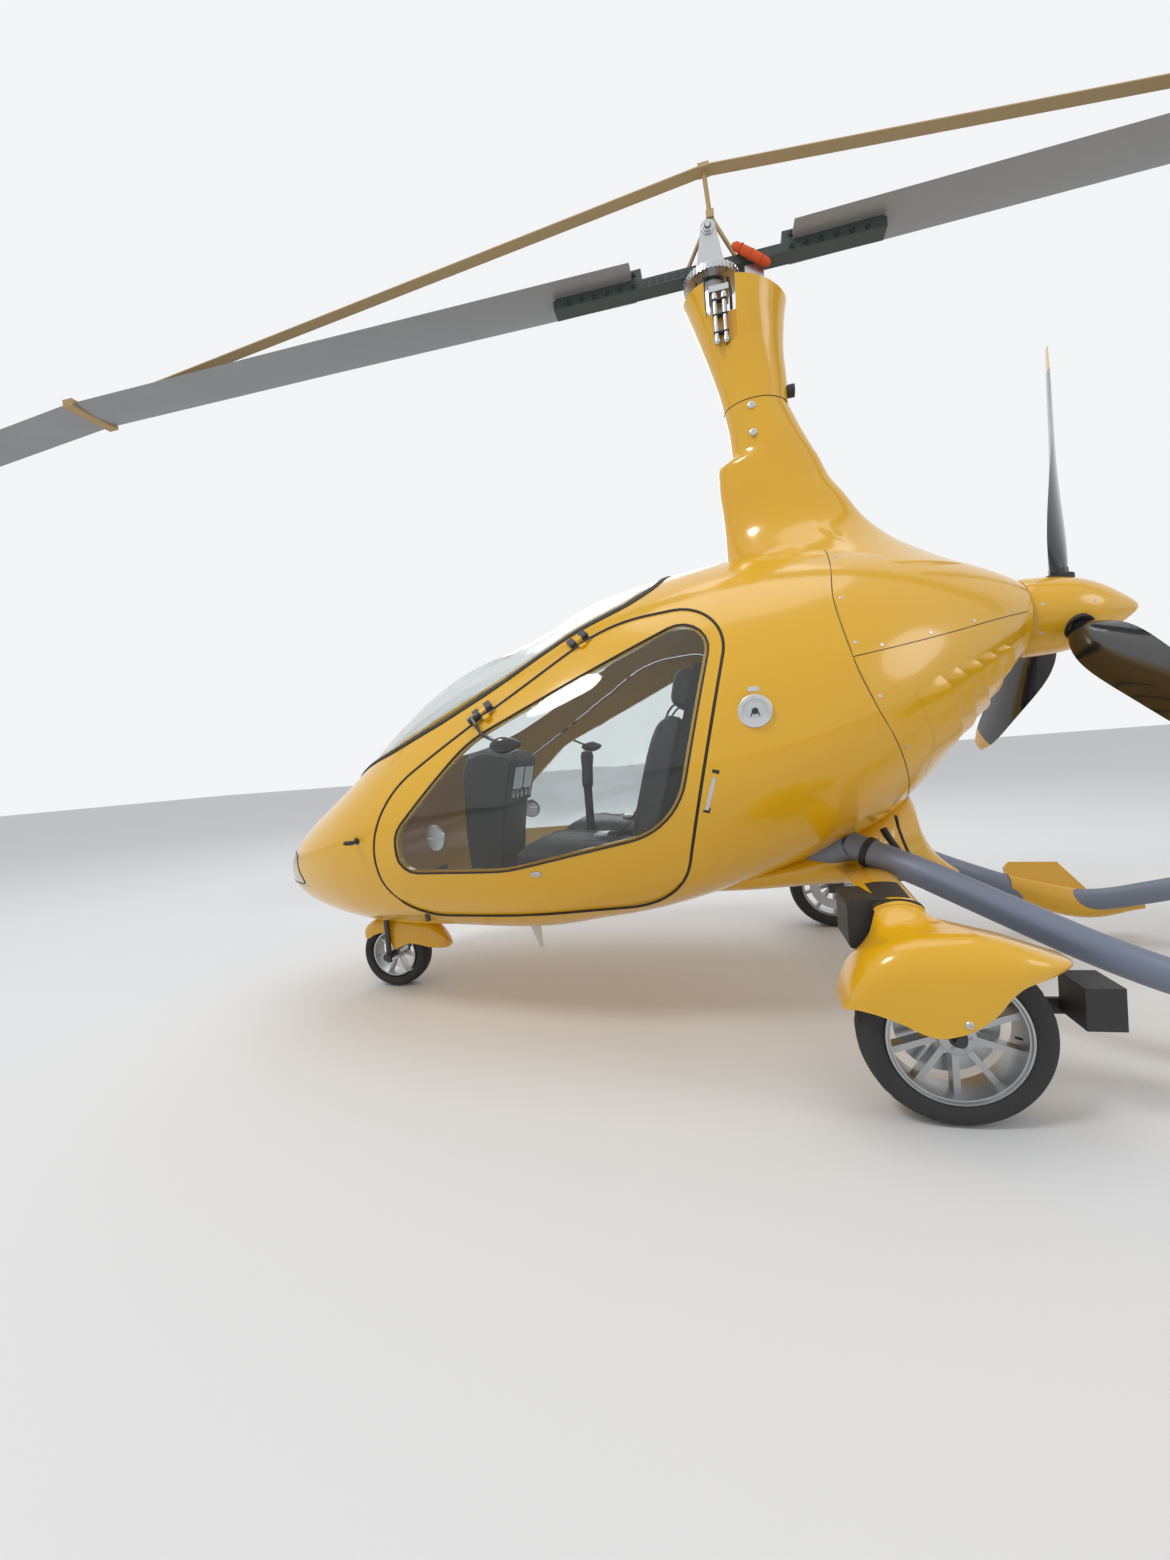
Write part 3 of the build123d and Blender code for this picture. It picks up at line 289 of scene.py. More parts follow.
finishes = {
    "yellowPaint": {
        "colours": ((0.80, 0.440, 0.008), (0.76, 0.405, 0.006)),
        "rough": 0.17, "spread": 0.08, "coat": 0.45,
    },
    "boomPaint": {
        "colours": ((0.205, 0.235, 0.305), (0.175, 0.203, 0.266)),
        "rough": 0.42, "spread": 0.12, "metal": 0.25,
    },
    "bladePaint": {
        "colours": ((0.34, 0.35, 0.36), (0.28, 0.29, 0.30)),
        "rough": 0.40, "spread": 0.14, "metal": 0.35,
    },
    "barPaint": {
        "colours": ((0.055, 0.075, 0.068), (0.042, 0.056, 0.052)),
        "rough": 0.42, "spread": 0.15, "metal": 0.2,
    },
    "machinedMetal": {
        "colours": ((0.62, 0.63, 0.64), (0.52, 0.53, 0.54)),
        "rough": 0.26, "spread": 0.14, "metal": 1.0,
    },
    "darkSteel": {
        "colours": ((0.09, 0.09, 0.095), (0.06, 0.06, 0.062)),
        "rough": 0.38, "spread": 0.2, "metal": 0.8,
    },
    "wheelAlloy": {
        "colours": ((0.50, 0.51, 0.52), (0.42, 0.43, 0.44)),
        "rough": 0.30, "spread": 0.14, "metal": 0.9,
    },
    "blackRubber": {
        "colours": ((0.016, 0.016, 0.017), (0.024, 0.024, 0.024)),
        "rough": 0.52, "spread": 0.2, "grain": (320, 0.25, 0.0),
    },
    "tyreRubber": {
        "colours": ((0.020, 0.020, 0.021), (0.034, 0.033, 0.032)),
        "rough": 0.66, "spread": 0.2, "grain": (420, 0.4, 0.0),
    },
    "blackPlastic": {
        "colours": ((0.020, 0.020, 0.021), (0.030, 0.030, 0.031)),
        "rough": 0.45, "spread": 0.2, "grain": (520, 0.3, 1.0),
    },
    "blackGloss": {
        "colours": ((0.010, 0.010, 0.012), (0.014, 0.014, 0.016)),
        "rough": 0.12, "spread": 0.08, "coat": 0.7,
    },
    "liningPanel": {
        "colours": ((0.055, 0.056, 0.060), (0.040, 0.040, 0.043)),
        "rough": 0.7, "spread": 0.2, "grain": (300, 0.4, 0.0),
    },
    "seatLeather": {
        "colours": ((0.022, 0.022, 0.024), (0.034, 0.033, 0.034)),
        "rough": 0.38, "spread": 0.16, "grain": (260, 0.5, 1.0),
    },
    "engineCasting": {
        "colours": ((0.16, 0.16, 0.165), (0.11, 0.11, 0.112)),
        "rough": 0.5, "spread": 0.2, "metal": 0.7, "grain": (240, 0.4, 0.0),
    },
    "orangeCloth": {
        "colours": ((0.72, 0.10, 0.02), (0.60, 0.07, 0.015)),
        "rough": 0.75, "spread": 0.15, "grain": (400, 0.5, 0.0),
    },
    "whitePaint": {"colours": ((0.78, 0.78, 0.76), (0.70, 0.70, 0.68)), "rough": 0.35, "spread": 0.12},
    "beltWebbing": {
        "colours": ((0.030, 0.030, 0.032), (0.045, 0.045, 0.047)),
        "rough": 0.7, "spread": 0.2, "grain": (700, 0.6, 0.0),
    },
    "mirrorFace": {
        "colours": ((0.85, 0.86, 0.87), (0.80, 0.81, 0.82)),
        "rough": 0.03, "spread": 0.02, "metal": 1.0,
    },
    "amberLens": {
        "colours": ((0.80, 0.24, 0.01), (0.70, 0.20, 0.01)),
        "rough": 0.15, "spread": 0.05, "coat": 0.6,
    },
}
madeMaterials = {}


def finish(name):
    if name in madeMaterials:
        return madeMaterials[name]
    look = finishes[name]
    material = bpy.data.materials.new(name)
    material.use_nodes = True
    tree = material.node_tree
    shader = tree.nodes["Principled BSDF"]
    tone = tree.nodes.new("ShaderNodeGroup")
    tone.node_tree = toneGroup
    tone.inputs["Colour"].default_value = (*look["colours"][0], 1)
    tone.inputs["Second Colour"].default_value = (*look["colours"][1], 1)
    tone.inputs["Roughness"].default_value = look["rough"]
    tone.inputs["Roughness Spread"].default_value = look["spread"]
    tree.links.new(tone.outputs["Colour"], shader.inputs["Base Color"])
    tree.links.new(tone.outputs["Roughness"], shader.inputs["Roughness"])
    shader.inputs["Metallic"].default_value = look.get("metal", 0.0)
    shader.inputs["Coat Weight"].default_value = look.get("coat", 0.0)
    shader.inputs["Coat Roughness"].default_value = 0.05
    if "grain" in look:
        scale, strength, cells = look["grain"]
        grain = tree.nodes.new("ShaderNodeGroup")
        grain.node_tree = grainGroup
        grain.inputs["Scale"].default_value = scale
        grain.inputs["Strength"].default_value = strength
        grain.inputs["Cells"].default_value = cells
        tree.links.new(grain.outputs["Normal"], shader.inputs["Normal"])
    madeMaterials[name] = material
    return material


def makeGlass(name, colour, roughness=0.02):
    material = bpy.data.materials.new(name)
    material.use_nodes = True
    shader = material.node_tree.nodes["Principled BSDF"]
    shader.inputs["Base Color"].default_value = (*colour, 1)
    shader.inputs["Roughness"].default_value = roughness
    shader.inputs["IOR"].default_value = 1.45
    shader.inputs["Transmission Weight"].default_value = 1.0
    madeMaterials[name] = material
    return material


def makeWebbing():
    material = bpy.data.materials.new("braceWebbing")
    material.use_nodes = True
    tree = material.node_tree
    shader = tree.nodes["Principled BSDF"]
    weave = tree.nodes.new("ShaderNodeGroup")
    weave.node_tree = weaveGroup
    weave.inputs["Colour"].default_value = (0.50, 0.35, 0.17, 1)
    weave.inputs["Thread Colour"].default_value = (0.30, 0.20, 0.09, 1)
    weave.inputs["Threads"].default_value = 90
    weave.inputs["Strength"].default_value = 0.6
    tree.links.new(weave.outputs["Colour"], shader.inputs["Base Color"])
    tree.links.new(weave.outputs["Normal"], shader.inputs["Normal"])
    shader.inputs["Roughness"].default_value = 0.8
    madeMaterials["braceWebbing"] = material


propellerLook = {"tipStart": 0.79, "centre": (1.052, 0.0, 1.268), "tipColour": (0.80, 0.455, 0.018)}


def makePropPaint():
    # gloss black blades with yellow tips, told apart by distance from the shaft
    material = bpy.data.materials.new("propPaint")
    material.use_nodes = True
    tree = material.node_tree
    shader = tree.nodes["Principled BSDF"]
    place = tree.nodes.new("ShaderNodeTexCoord")
    apart = tree.nodes.new("ShaderNodeVectorMath")
    apart.operation = "SUBTRACT"
    apart.inputs[1].default_value = propellerLook["centre"]
    far = tree.nodes.new("ShaderNodeVectorMath")
    far.operation = "LENGTH"
    tip = tree.nodes.new("ShaderNodeMath")
    tip.operation = "GREATER_THAN"
    tip.inputs[1].default_value = propellerLook["tipStart"]
    mix = tree.nodes.new("ShaderNodeMix")
    mix.data_type = "RGBA"
    mix.inputs["A"].default_value = (0.012, 0.012, 0.014, 1)
    mix.inputs["B"].default_value = (*propellerLook["tipColour"], 1)
    tree.links.new(place.outputs["Object"], apart.inputs[0])
    tree.links.new(apart.outputs[0], far.inputs[0])
    tree.links.new(far.outputs["Value"], tip.inputs[0])
    tree.links.new(tip.outputs[0], mix.inputs["Factor"])
    tree.links.new(mix.outputs["Result"], shader.inputs["Base Color"])
    shader.inputs["Roughness"].default_value = 0.14
    shader.inputs["Coat Weight"].default_value = 0.6
    shader.inputs["Coat Roughness"].default_value = 0.04
    madeMaterials["propPaint"] = material


makeGlass("cabinGlass", (0.86, 0.90, 0.90))
makeGlass("lampGlass", (0.96, 0.97, 0.97))
makeWebbing()
makePropPaint()

nodeFinishes = {
    "yellowPaint": [
        "cabin_shell", "door_left", "door_right", "engine_cowling", "mast_fairing", "mast_head",
        "keel_fairing", "wheel_pants", "boom_fairings", "gear_bow", "spinner", "outer_fins", "centre_fin",
        "rudder", "tailplane", "nose_mudguard",
    ],
    "boomPaint": ["tail_booms", "boom_roots"],
    "bladePaint": ["blade_front", "blade_rear"],
    "barPaint": ["hub_bar"],
    "machinedMetal": ["rotor_hub", "rotor_bearing", "push_rods", "filler_cap"],
    "darkSteel": ["axle_carriers", "nose_fork", "door_hinges"],
    "wheelAlloy": ["main_rim_left", "main_rim_right", "nose_rim"],
    "tyreRubber": ["main_tyre_left", "main_tyre_right", "nose_tyre"],
    "blackRubber": ["windscreen_seal"],
    "blackPlastic": ["drive_boxes", "rear_brackets", "instrument_pod", "control_sticks", "beacon"],
    "liningPanel": ["cabin_floor", "bulkhead"],
    "seatLeather": ["seats"],
    "engineCasting": ["engine"],
    "cabinGlass": ["windscreen", "door_glass_left", "door_glass_right"],
    "lampGlass": ["nose_lamps"],
    "braceWebbing": ["rotor_brace"],
    "propPaint": ["propeller"],
}


def dressNodes():
    for name, members in nodeFinishes.items():
        material = madeMaterials.get(name) or finish(name)
        for node in members:
            mesh = nodes[node].data
            mesh.materials.clear()
            mesh.materials.append(material)


# Mesh helpers

def smoothTable(rows, keys):
    # values between the rows, on curves that never overshoot
    places = [row[0] for row in rows]
    columns = []
    for values in list(zip(*rows))[1:]:
        steps = [(values[i + 1] - values[i]) / (places[i + 1] - places[i]) for i in range(len(places) - 1)]
        inner = [0 if a * b <= 0 else 2 * a * b / (a + b) for a, b in zip(steps, steps[1:])]
        columns.append((values, [steps[0]] + inner + [steps[-1]]))
    made = []
    for key in keys:
        i = max(0, min(len(places) - 2, bisect_right(places, key) - 1))
        width = places[i + 1] - places[i]
        t = (key - places[i]) / width
        row = [key]
        for values, slopes in columns:
            row.append(
                (2 * t ** 3 - 3 * t ** 2 + 1) * values[i]
                + (t ** 3 - 2 * t ** 2 + t) * slopes[i] * width
                + (3 * t ** 2 - 2 * t ** 3) * values[i + 1]
                + (t ** 3 - t ** 2) * slopes[i + 1] * width
            )
        made.append(row)
    return made


def spread(start, end, count):
    return [start + (end - start) * i / (count - 1) for i in range(count)]


def addLoft(built, rings, closed=True, capStart=False, capEnd=False):
    made = [[built.verts.new(point) for point in ring] for ring in rings]
    faces = []
    for low, high in zip(made, made[1:]):
        count = len(low)
        for i in range(count if closed else count - 1):
            j = (i + 1) % count
            faces.append(built.faces.new((low[i], low[j], high[j], high[i])))
    if capStart:
        faces.append(built.faces.new(list(reversed(made[0]))))
    if capEnd:
        faces.append(built.faces.new(made[-1]))
    return faces


def ringRound(centre, side, up, radius, count):
    turns = [math.tau * i / count for i in range(count)]
    return [centre + side * (radius * math.cos(turn)) + up * (radius * math.sin(turn)) for turn in turns]


def addTube(built, points, radius, sides=8, closed=False, across=None):
    points = [Vector(point) for point in points]
    count = len(points)
    rings = []
    side = None
    for i, point in enumerate(points):
        ahead = points[(i + 1) % count] if closed or i < count - 1 else point
        behind = points[i - 1] if closed or i > 0 else point
        run = (ahead - behind).normalized()
        if across:
            side = run.cross(Vector(across)).normalized()
        else:
            side = side or run.orthogonal()
            side = (side - run * side.dot(run)).normalized()
        rings.append(ringRound(point, side, run.cross(side), radius, sides))
    if closed:
        made = [[built.verts.new(corner) for corner in ring] for ring in rings]
        for low, high in zip(made, made[1:] + made[:1]):
            for i in range(sides):
                j = (i + 1) % sides
                built.faces.new((low[i], low[j], high[j], high[i]))
    else:
        addLoft(built, rings, capStart=True, capEnd=True)


def addLathe(built, profile, centre, axis, count=24, solid=True):
    # profile rows are radius and distance along the axis; a ring's profile closes on itself
    turn = Vector(axis).to_track_quat("Z", "Y").to_matrix()
    side, up, along = turn.col[0], turn.col[1], turn.col[2]
    if not solid:
        profile = list(profile) + [profile[0]]
    rings = []
    for radius, height in profile:
        rings.append(ringRound(Vector(centre) + along * height, side, up, max(radius, 0.0001), count))
    addLoft(built, rings, capStart=solid, capEnd=solid)


def addBox(built, low, high, bevel=0.0, matrix=None):
    low, high = Vector(low), Vector(high)
    corners = bmesh.ops.create_cube(built, size=1)["verts"]
    for corner in corners:
        corner.co = (low + high) / 2 + Vector([a * b for a, b in zip(corner.co, high - low)])
        if matrix:
            corner.co = matrix @ corner.co
    if bevel:
        edges = list({edge for corner in corners for edge in corner.link_edges})
        bmesh.ops.bevel(
            built, geom=edges, offset=bevel, segments=2, profile=0.6, affect="EDGES", clamp_overlap=True,
        )


def addRibbon(built, points, width, across, thick=0.002):
    across = Vector(across).normalized()
    rings = []
    for i, point in enumerate(points):
        point = Vector(point)
        run = (Vector(points[min(i + 1, len(points) - 1)]) - Vector(points[max(i - 1, 0)])).normalized()
        lift = run.cross(across).normalized() * (thick / 2)
        side = across * (width / 2)
        rings.append([point - side - lift, point + side - lift, point + side + lift, point - side + lift])
    addLoft(built, rings, capStart=True, capEnd=True)


def addBolt(built, place, normal, radius, height):
    profile = [
        (radius, -0.002), (radius, 0.5 * height), (0.82 * radius, height),
        (0.42 * radius, height), (0.36 * radius, 0.4 * height),
    ]
    addLathe(built, profile, place, normal, 14)


def makePiece(built, name, look, body="airframe", sharp=38):
    bmesh.ops.recalc_face_normals(built, faces=built.faces)
    mesh = bpy.data.meshes.new(name)
    built.to_mesh(mesh)
    built.free()
    mesh.materials.append(madeMaterials.get(look) or finish(look))
    mesh.shade_smooth()
    mesh.set_sharp_from_angle(angle=math.radians(sharp))
    piece = bpy.data.objects.new(name, mesh)
    bpy.context.scene.collection.objects.link(piece)
    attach(piece, body)
    return piece


# Places on the body's skin

def makeTree(names):
    corners, faces = [], []
    for name in names:
        mesh = nodes[name].data
        first = len(corners)
        corners += [vertex.co.copy() for vertex in mesh.vertices]
        faces += [[first + i for i in polygon.vertices] for polygon in mesh.polygons]
    return BVHTree.FromPolygons(corners, faces)


bodySkin = makeTree([
    "cabin_shell", "door_left", "door_right", "door_glass_left", "door_glass_right", "engine_cowling",
    "windscreen", "windscreen_seal",
])
outsideY = 1.5


def skinAt(x, z, side=-1):
    place, normal, index, distance = bodySkin.ray_cast(Vector((x, side * outsideY, z)), Vector((0, -side, 0)))
    return place, normal


def outerSkinAt(x, z, side, reach=0.008):
    # the outermost skin nearby, so that a gap between panels doesn't count
    best = None
    for shiftX, shiftZ in ((0, 0), (reach, 0), (-reach, 0), (0, reach), (0, -reach)):
        place, normal = skinAt(x + shiftX, z + shiftZ, side)
        if place and (best is None or abs(place.y) > abs(best[0].y)):
            best = (place, normal)
    return Vector((x, best[0].y, z)), best[1]


def seenAt(pixelX, pixelY, tree=None):
    # what the photograph's camera sees at a pixel
    aim = eye["look"] * cameraSetup["focalPixels"]
    aim += eye["side"] * (pixelX - 585) + eye["top"] * (780 - pixelY)
    return (tree or bodySkin).ray_cast(Vector(cameraSetup["place"]), aim.normalized())[:2]


def roundedOutline(corners, inset=0.0, step=0.025):
    # points round a closed side view outline with rounded corners
    made = []
    count = len(corners)
    for i, (x, z, radius) in enumerate(corners):
        corner = Vector((x, z))
        before = Vector(corners[i - 1][:2]) - corner
        after = Vector(corners[(i + 1) % count][:2]) - corner
        half = before.angle(after) / 2
        reach = radius / math.tan(half)
        start = corner + before.normalized() * reach
        end = corner + after.normalized() * reach
        middle = corner + (before.normalized() + after.normalized()).normalized() * (radius / math.sin(half))
        first, last = start - middle, end - middle
        turn = math.atan2(first.x * last.y - first.y * last.x, first.dot(last))
        parts = max(3, int(abs(turn) * radius / step))
        for part in range(parts + 1):
            angle = turn * part / parts
            made.append(middle + Vector((
                first.x * math.cos(angle) - first.y * math.sin(angle),
                first.x * math.sin(angle) + first.y * math.cos(angle),
            )))
    filled = []
    for i, point in enumerate(made):
        after = made[(i + 1) % len(made)]
        gap = (after - point).length
        if gap < 1e-5:
            continue
        parts = max(1, round(gap / step))
        filled += [point.lerp(after, part / parts) for part in range(parts)]
    if inset:
        area = sum(a.x * b.y - b.x * a.y for a, b in zip(filled, filled[1:] + filled[:1]))
        sign = 1 if area > 0 else -1
        moved = []
        for i, point in enumerate(filled):
            run = (filled[(i + 1) % len(filled)] - filled[i - 1]).normalized()
            moved.append(point + Vector((-run.y, run.x)) * (sign * inset))
        filled = moved
    return filled


# Door and window seals, and the cowling's seams

doorTrim = {
    "corners": [
        (-1.245, 0.392, 0.185), (-0.228, 0.398, 0.230), (-0.008, 1.362, 0.140),
        (-0.394, 1.337, 0.470), (-1.243, 0.806, 0.380),
    ],
    "window": [
        (-1.150, 0.577, 0.062), (-0.760, 0.578, 0.500), (-0.214, 0.684, 0.230),
        (-0.055, 1.353, 0.084), (-0.850, 1.000, 0.420), (-1.142, 0.718, 0.110),
    ],
    "gapMiddle": 0.0045, "gapBead": 0.0036, "gapDepth": 0.0035, "windowBead": 0.0030,
}


def makeDoorTrim():
    for side, label in ((-1, "left"), (1, "right")):
        built = bmesh.new()
        line = []
        for point in roundedOutline(doorTrim["corners"], doorTrim["gapMiddle"]):
            place, normal = outerSkinAt(point.x, point.y, side)
            line.append(place - Vector((0, side * doorTrim["gapDepth"], 0)))
        addTube(built, line, doorTrim["gapBead"], 8, True, (0, 1, 0))
        makePiece(built, f"door_gap_seal_{label}", "blackRubber")
        built = bmesh.new()
        line = []
        for point in roundedOutline(doorTrim["window"], 0.001):
            place, normal = outerSkinAt(point.x, point.y, side, 0.004)
            line.append(place - Vector((0, side * 0.0006, 0)))
        addTube(built, line, doorTrim["windowBead"], 8, True, (0, 1, 0))
        makePiece(built, f"window_seal_{label}", "blackRubber", f"door_{label}")


cowlTrim = {
    "front": [
        (0.300, 1.585), (0.284, 1.438), (0.268, 1.325), (0.297, 1.137), (0.351, 0.993), (0.407, 0.891),
        (0.467, 0.767), (0.500, 0.690),
    ],
    "level": [(0.297, 1.137), (0.427, 1.160), (0.581, 1.192), (0.758, 1.235), (0.880, 1.262)],
    "seam": 0.0013,
    "bolt": 0.0055,
}


def sideLine(corners, side, spacing=0.02):
    length = [0]
    for a, b in zip(corners, corners[1:]):
        length.append(length[-1] + math.hypot(b[0] - a[0], b[1] - a[1]))
    rows = [(along, *corner) for along, corner in zip(length, corners)]
    line = []
    for along, x, z in smoothTable(rows, spread(0, length[-1], max(3, int(length[-1] / spacing)))):
        place, normal = skinAt(x, z, side)
        if place:
            line.append((place, normal))
    return line


def makeCowlTrim():
    seams = bmesh.new()
    bolts = bmesh.new()
    for side in (-1, 1):
        for key in ("front", "level"):
            line = sideLine(cowlTrim[key], side)
            addTube(seams, [place for place, normal in line], cowlTrim["seam"], 6)
            away = 0.022 if key == "front" else 0.014
            for place, normal in line[4::7]:
                x = place.x + away if key == "front" else place.x
                z = place.z if key == "front" else place.z + away
                spot, facing = skinAt(x, z, side)
                if spot:
                    addBolt(bolts, spot, facing, cowlTrim["bolt"], 0.0016)
    makePiece(seams, "cowl_seams", "blackRubber")
    makePiece(bolts, "cowl_bolts", "machinedMetal")


# Gills on the cowling, whose lips open aft

gillSet = {
    # photo pixels down each lip's edge
    "lips": [
        [(939.8, 674.5), (948.0, 686.7), (953.6, 702.0), (956.6, 717.3), (958.4, 728.0)],
        [(956.1, 666.3), (963.3, 675.5), (967.9, 689.8), (970.9, 706.1), (971.8, 717.0)],
        [(973.0, 658.2), (979.6, 666.3), (983.2, 681.6), (984.9, 694.9), (985.2, 703.0)],
        [(989.8, 651.0), (994.9, 660.2), (996.9, 670.4), (998.0, 681.6), (997.7, 688.5)],
        [(1005.1, 643.9), (1008.7, 651.0), (1009.7, 661.2), (1010.2, 671.4), (1010.0, 676.0)],
    ],
    "firstStart": [(915.0, 692.0), (921.0, 702.0), (927.0, 716.0), (931.0, 730.0), (934.0, 744.0)],
    "height": 0.013,
    # how far each lip runs on below the last pixel, in parts of its length and in radians
    "reach": 1.35, "under": 0.30,
}


# Height of the body's widest line along x
widestLine = [
    (-1.88, 0.540), (-1.70, 0.600), (-1.55, 0.640), (-1.30, 0.700), (-0.95, 0.760), (-0.55, 0.820),
    (-0.20, 0.870), (0.15, 0.920), (0.45, 1.020), (0.70, 1.145), (0.83, 1.220), (0.905, 1.262),
]


def middleHeight(x):
    return smoothTable(widestLine, [x])[0][1]


def cowlAt(x, angle, side):
    middle = middleHeight(x)
    aim = Vector((0, side * math.cos(angle), math.sin(angle)))
    place, normal, index, distance = bodySkin.ray_cast(Vector((x, 0, middle)) + aim * outsideY, -aim)
    return place, normal


def lipLine(pixels):
    found = []
    for pixelX, pixelY in pixels:
        place, normal = seenAt(pixelX, pixelY)
        if place and place.x < 0.9:
            found.append((place.x, math.atan2(place.z - middleHeight(place.x), -place.y)))
    rows = [(i / (len(found) - 1), *row) for i, row in enumerate(found)]
    below = found[-1]
    rows.append((gillSet["reach"], below[0] - 0.004, below[1] - gillSet["under"]))
    return smoothTable(rows, spread(0, gillSet["reach"], 22))


def makeGills():
    lines = [lipLine(pixels) for pixels in [gillSet["firstStart"]] + gillSet["lips"]]
    for side, label in ((-1, "left"), (1, "right")):
        built = bmesh.new()
        # dark strips on the skin just aft of each lip: painted shade where the lips' shadows fall
        lipShadeSheet = bmesh.new()
        for start, end in zip(lines, lines[1:]):
            rows = []
            shades = []
            for first, last in zip(start, end):
                along = first[0] / gillSet["reach"]
                fade = min(1, 5 * along, 5 * (1 - along))
                fade = fade * fade * (3 - 2 * fade)
                row = []
                for across in (0.0, 0.2, 0.4, 0.6, 0.8, 0.92, 1.0):
                    x = first[1] + (last[1] - first[1]) * across
                    angle = first[2] + (last[2] - first[2]) * across
                    place, normal = cowlAt(x, angle, side)
                    rise = gillSet["height"] * fade * across ** 1.8
                    row.append(place + normal * (rise + 0.0006))
                # the lip turns back under itself, over a dark strip of painted shade
                row.append(place + normal * (0.72 * gillSet["height"] * fade + 0.0006))
                rows.append(row)
                # painted shade: a thin dark sheet on the skin behind the lip
                shade = []
                for back in (-0.002, 0.0, 0.003, 0.007):
                    place, normal = cowlAt(last[1] + back * fade, last[2], side)
                    shade.append(place + normal * 0.0011)
                shades.append(shade)
            addLoft(built, rows, closed=False)
            addLoft(lipShadeSheet, shades, closed=False)
        makePiece(lipShadeSheet, f"gill_painted_shade_{label}", "blackPlastic")
        makePiece(built, f"cowl_gills_{label}", "yellowPaint", sharp=50)


# Windscreen bead, which widens towards the roof

beadShape = {
    "line": [
        (-1.440, 0.910), (-1.340, 0.942), (-1.173, 0.988), (-1.017, 1.050), (-0.846, 1.134), (-0.750, 1.189),
        (-0.655, 1.247), (-0.503, 1.329), (-0.352, 1.397), (-0.262, 1.464), (-0.236, 1.512),
    ],
    "ends": (-1.545, -0.208),
    "width": (0.010, 0.027),
    "lift": 0.0045,
}


def makeBead():
    shape = beadShape
    front, rear = shape["ends"]
    rows = [(0, front, math.pi / 2)]
    for x, z in shape["line"]:
        place, normal = skinAt(x, z)
        step = math.hypot(x - rows[-1][1], 0.3 * (len(rows) < 2))
        rows.append((rows[-1][0] + max(step, 0.05), x, math.atan2(place.z - middleHeight(x), -place.y)))
    rows.append((rows[-1][0] + 0.25, rear, math.pi / 2))
    line = smoothTable(rows, spread(0, rows[-1][0], 110))
    places = [(*cowlAt(x, angle, -1), along / rows[-1][0]) for along, x, angle in line]
    places += [(*cowlAt(x, angle, 1), along / rows[-1][0]) for along, x, angle in reversed(line[1:-1])]
    rings = []
    for i, (place, normal, part) in enumerate(places):
        run = (places[(i + 1) % len(places)][0] - places[i - 1][0]).normalized()
        across = run.cross(normal).normalized()
        width = shape["width"][0] + (shape["width"][1] - shape["width"][0]) * part
        ring = []
        for turn in spread(0, math.pi, 9):
            rise = shape["lift"] * math.sin(turn) ** 0.7 + 0.0005
            ring.append(place + across * (width / 2 * math.cos(turn)) + normal * rise)
        ring.append(place - across * (width / 2) - normal * 0.003)
        ring.append(place + across * (width / 2) - normal * 0.003)
        rings.append(ring)
    built = bmesh.new()
    addLoft(built, rings + rings[:1])
    bmesh.ops.remove_doubles(built, verts=built.verts, dist=0.00001)
    piece = makePiece(built, "windscreen_bead", "blackRubber", sharp=70)
    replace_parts(piece, "windscreen_seal")


# Smooth mast fairing and head

mastShape = {
    # height, front x, rear x, half width
    "levels": [
        (1.440, -0.110, 0.800, 0.315), (1.500, -0.070, 0.695, 0.250), (1.545, -0.035, 0.625, 0.205),
        (1.590, -0.014, 0.560, 0.168), (1.690, -0.012, 0.462, 0.112), (1.780, -0.016, 0.405, 0.097),
        (1.850, -0.022, 0.358, 0.092), (1.930, -0.022, 0.325, 0.090), (1.946, 0.004, 0.316, 0.090),
        (1.966, 0.030, 0.306, 0.090), (2.040, 0.027, 0.272, 0.090), (2.1285, 0.014, 0.236, 0.090),
    ],
    "head": [
        (2.1300, 0.014, 0.236, 0.090), (2.200, 0.000, 0.238, 0.094), (2.310, -0.030, 0.234, 0.112),
        (2.416, -0.063, 0.242, 0.140), (2.500, -0.090, 0.256, 0.158), (2.556, -0.110, 0.264, 0.168),
    ],
    "rimFront": (-0.104, 2.542), "rimRear": (0.260, 2.484), "wall": 0.007, "cupFloor": 2.440,
    "recess": (-0.028, 0.072), "recessFloor": 2.322, "recessY": -0.092, "steps": 60,
}


def mastRing(row, count=72, inset=0.0):
    z, front, rear, half = row
    middle, reach = (front + rear) / 2, (rear - front) / 2 - inset
    ring = []
    for i in range(count):
        angle = math.tau * i / count
        x, y = math.cos(angle), math.sin(angle)
        # fuller at the front, finer at the trailing edge
        if x > 0:
            y *= 1 - 0.18 * x * x
        ring.append(Vector((middle + reach * x, (half - inset) * y, z)))
    return ring


def makeMast():
    rows = smoothTable(mastShape["levels"], spread(1.440, 2.1285, 92))
    rings = [mastRing(row) for row in rows]
    columns = list(zip(*rings))
    trimmed = []
    for column in columns:
        # each column starts just inside the body's skin
        first = 0
        for i, point in enumerate(column):
            place = bodySkin.ray_cast(Vector((point.x, point.y, 2.0)), Vector((0, 0, -1)))[0]
            if place and place.z < point.z:
                first = max(0, i - 1)
                if i == 0:
                    column = (Vector((point.x, point.y, place.z - 0.003)),) + column
                break
        kept = []
        for part in spread(0, 1, mastShape["steps"]):
            spot = first + (len(column) - 1 - first) * part ** 1.3
            low = min(int(spot), len(column) - 2)
            kept.append(column[low].lerp(column[low + 1], spot - low))
        kept[0] = column[first]
        trimmed.append(kept)
    built = bmesh.new()
    addLoft(built, [list(ring) for ring in zip(*trimmed)], capEnd=True)
    piece = makePiece(built, "mast_skin", "yellowPaint", sharp=60)
    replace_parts(piece, "mast_fairing")


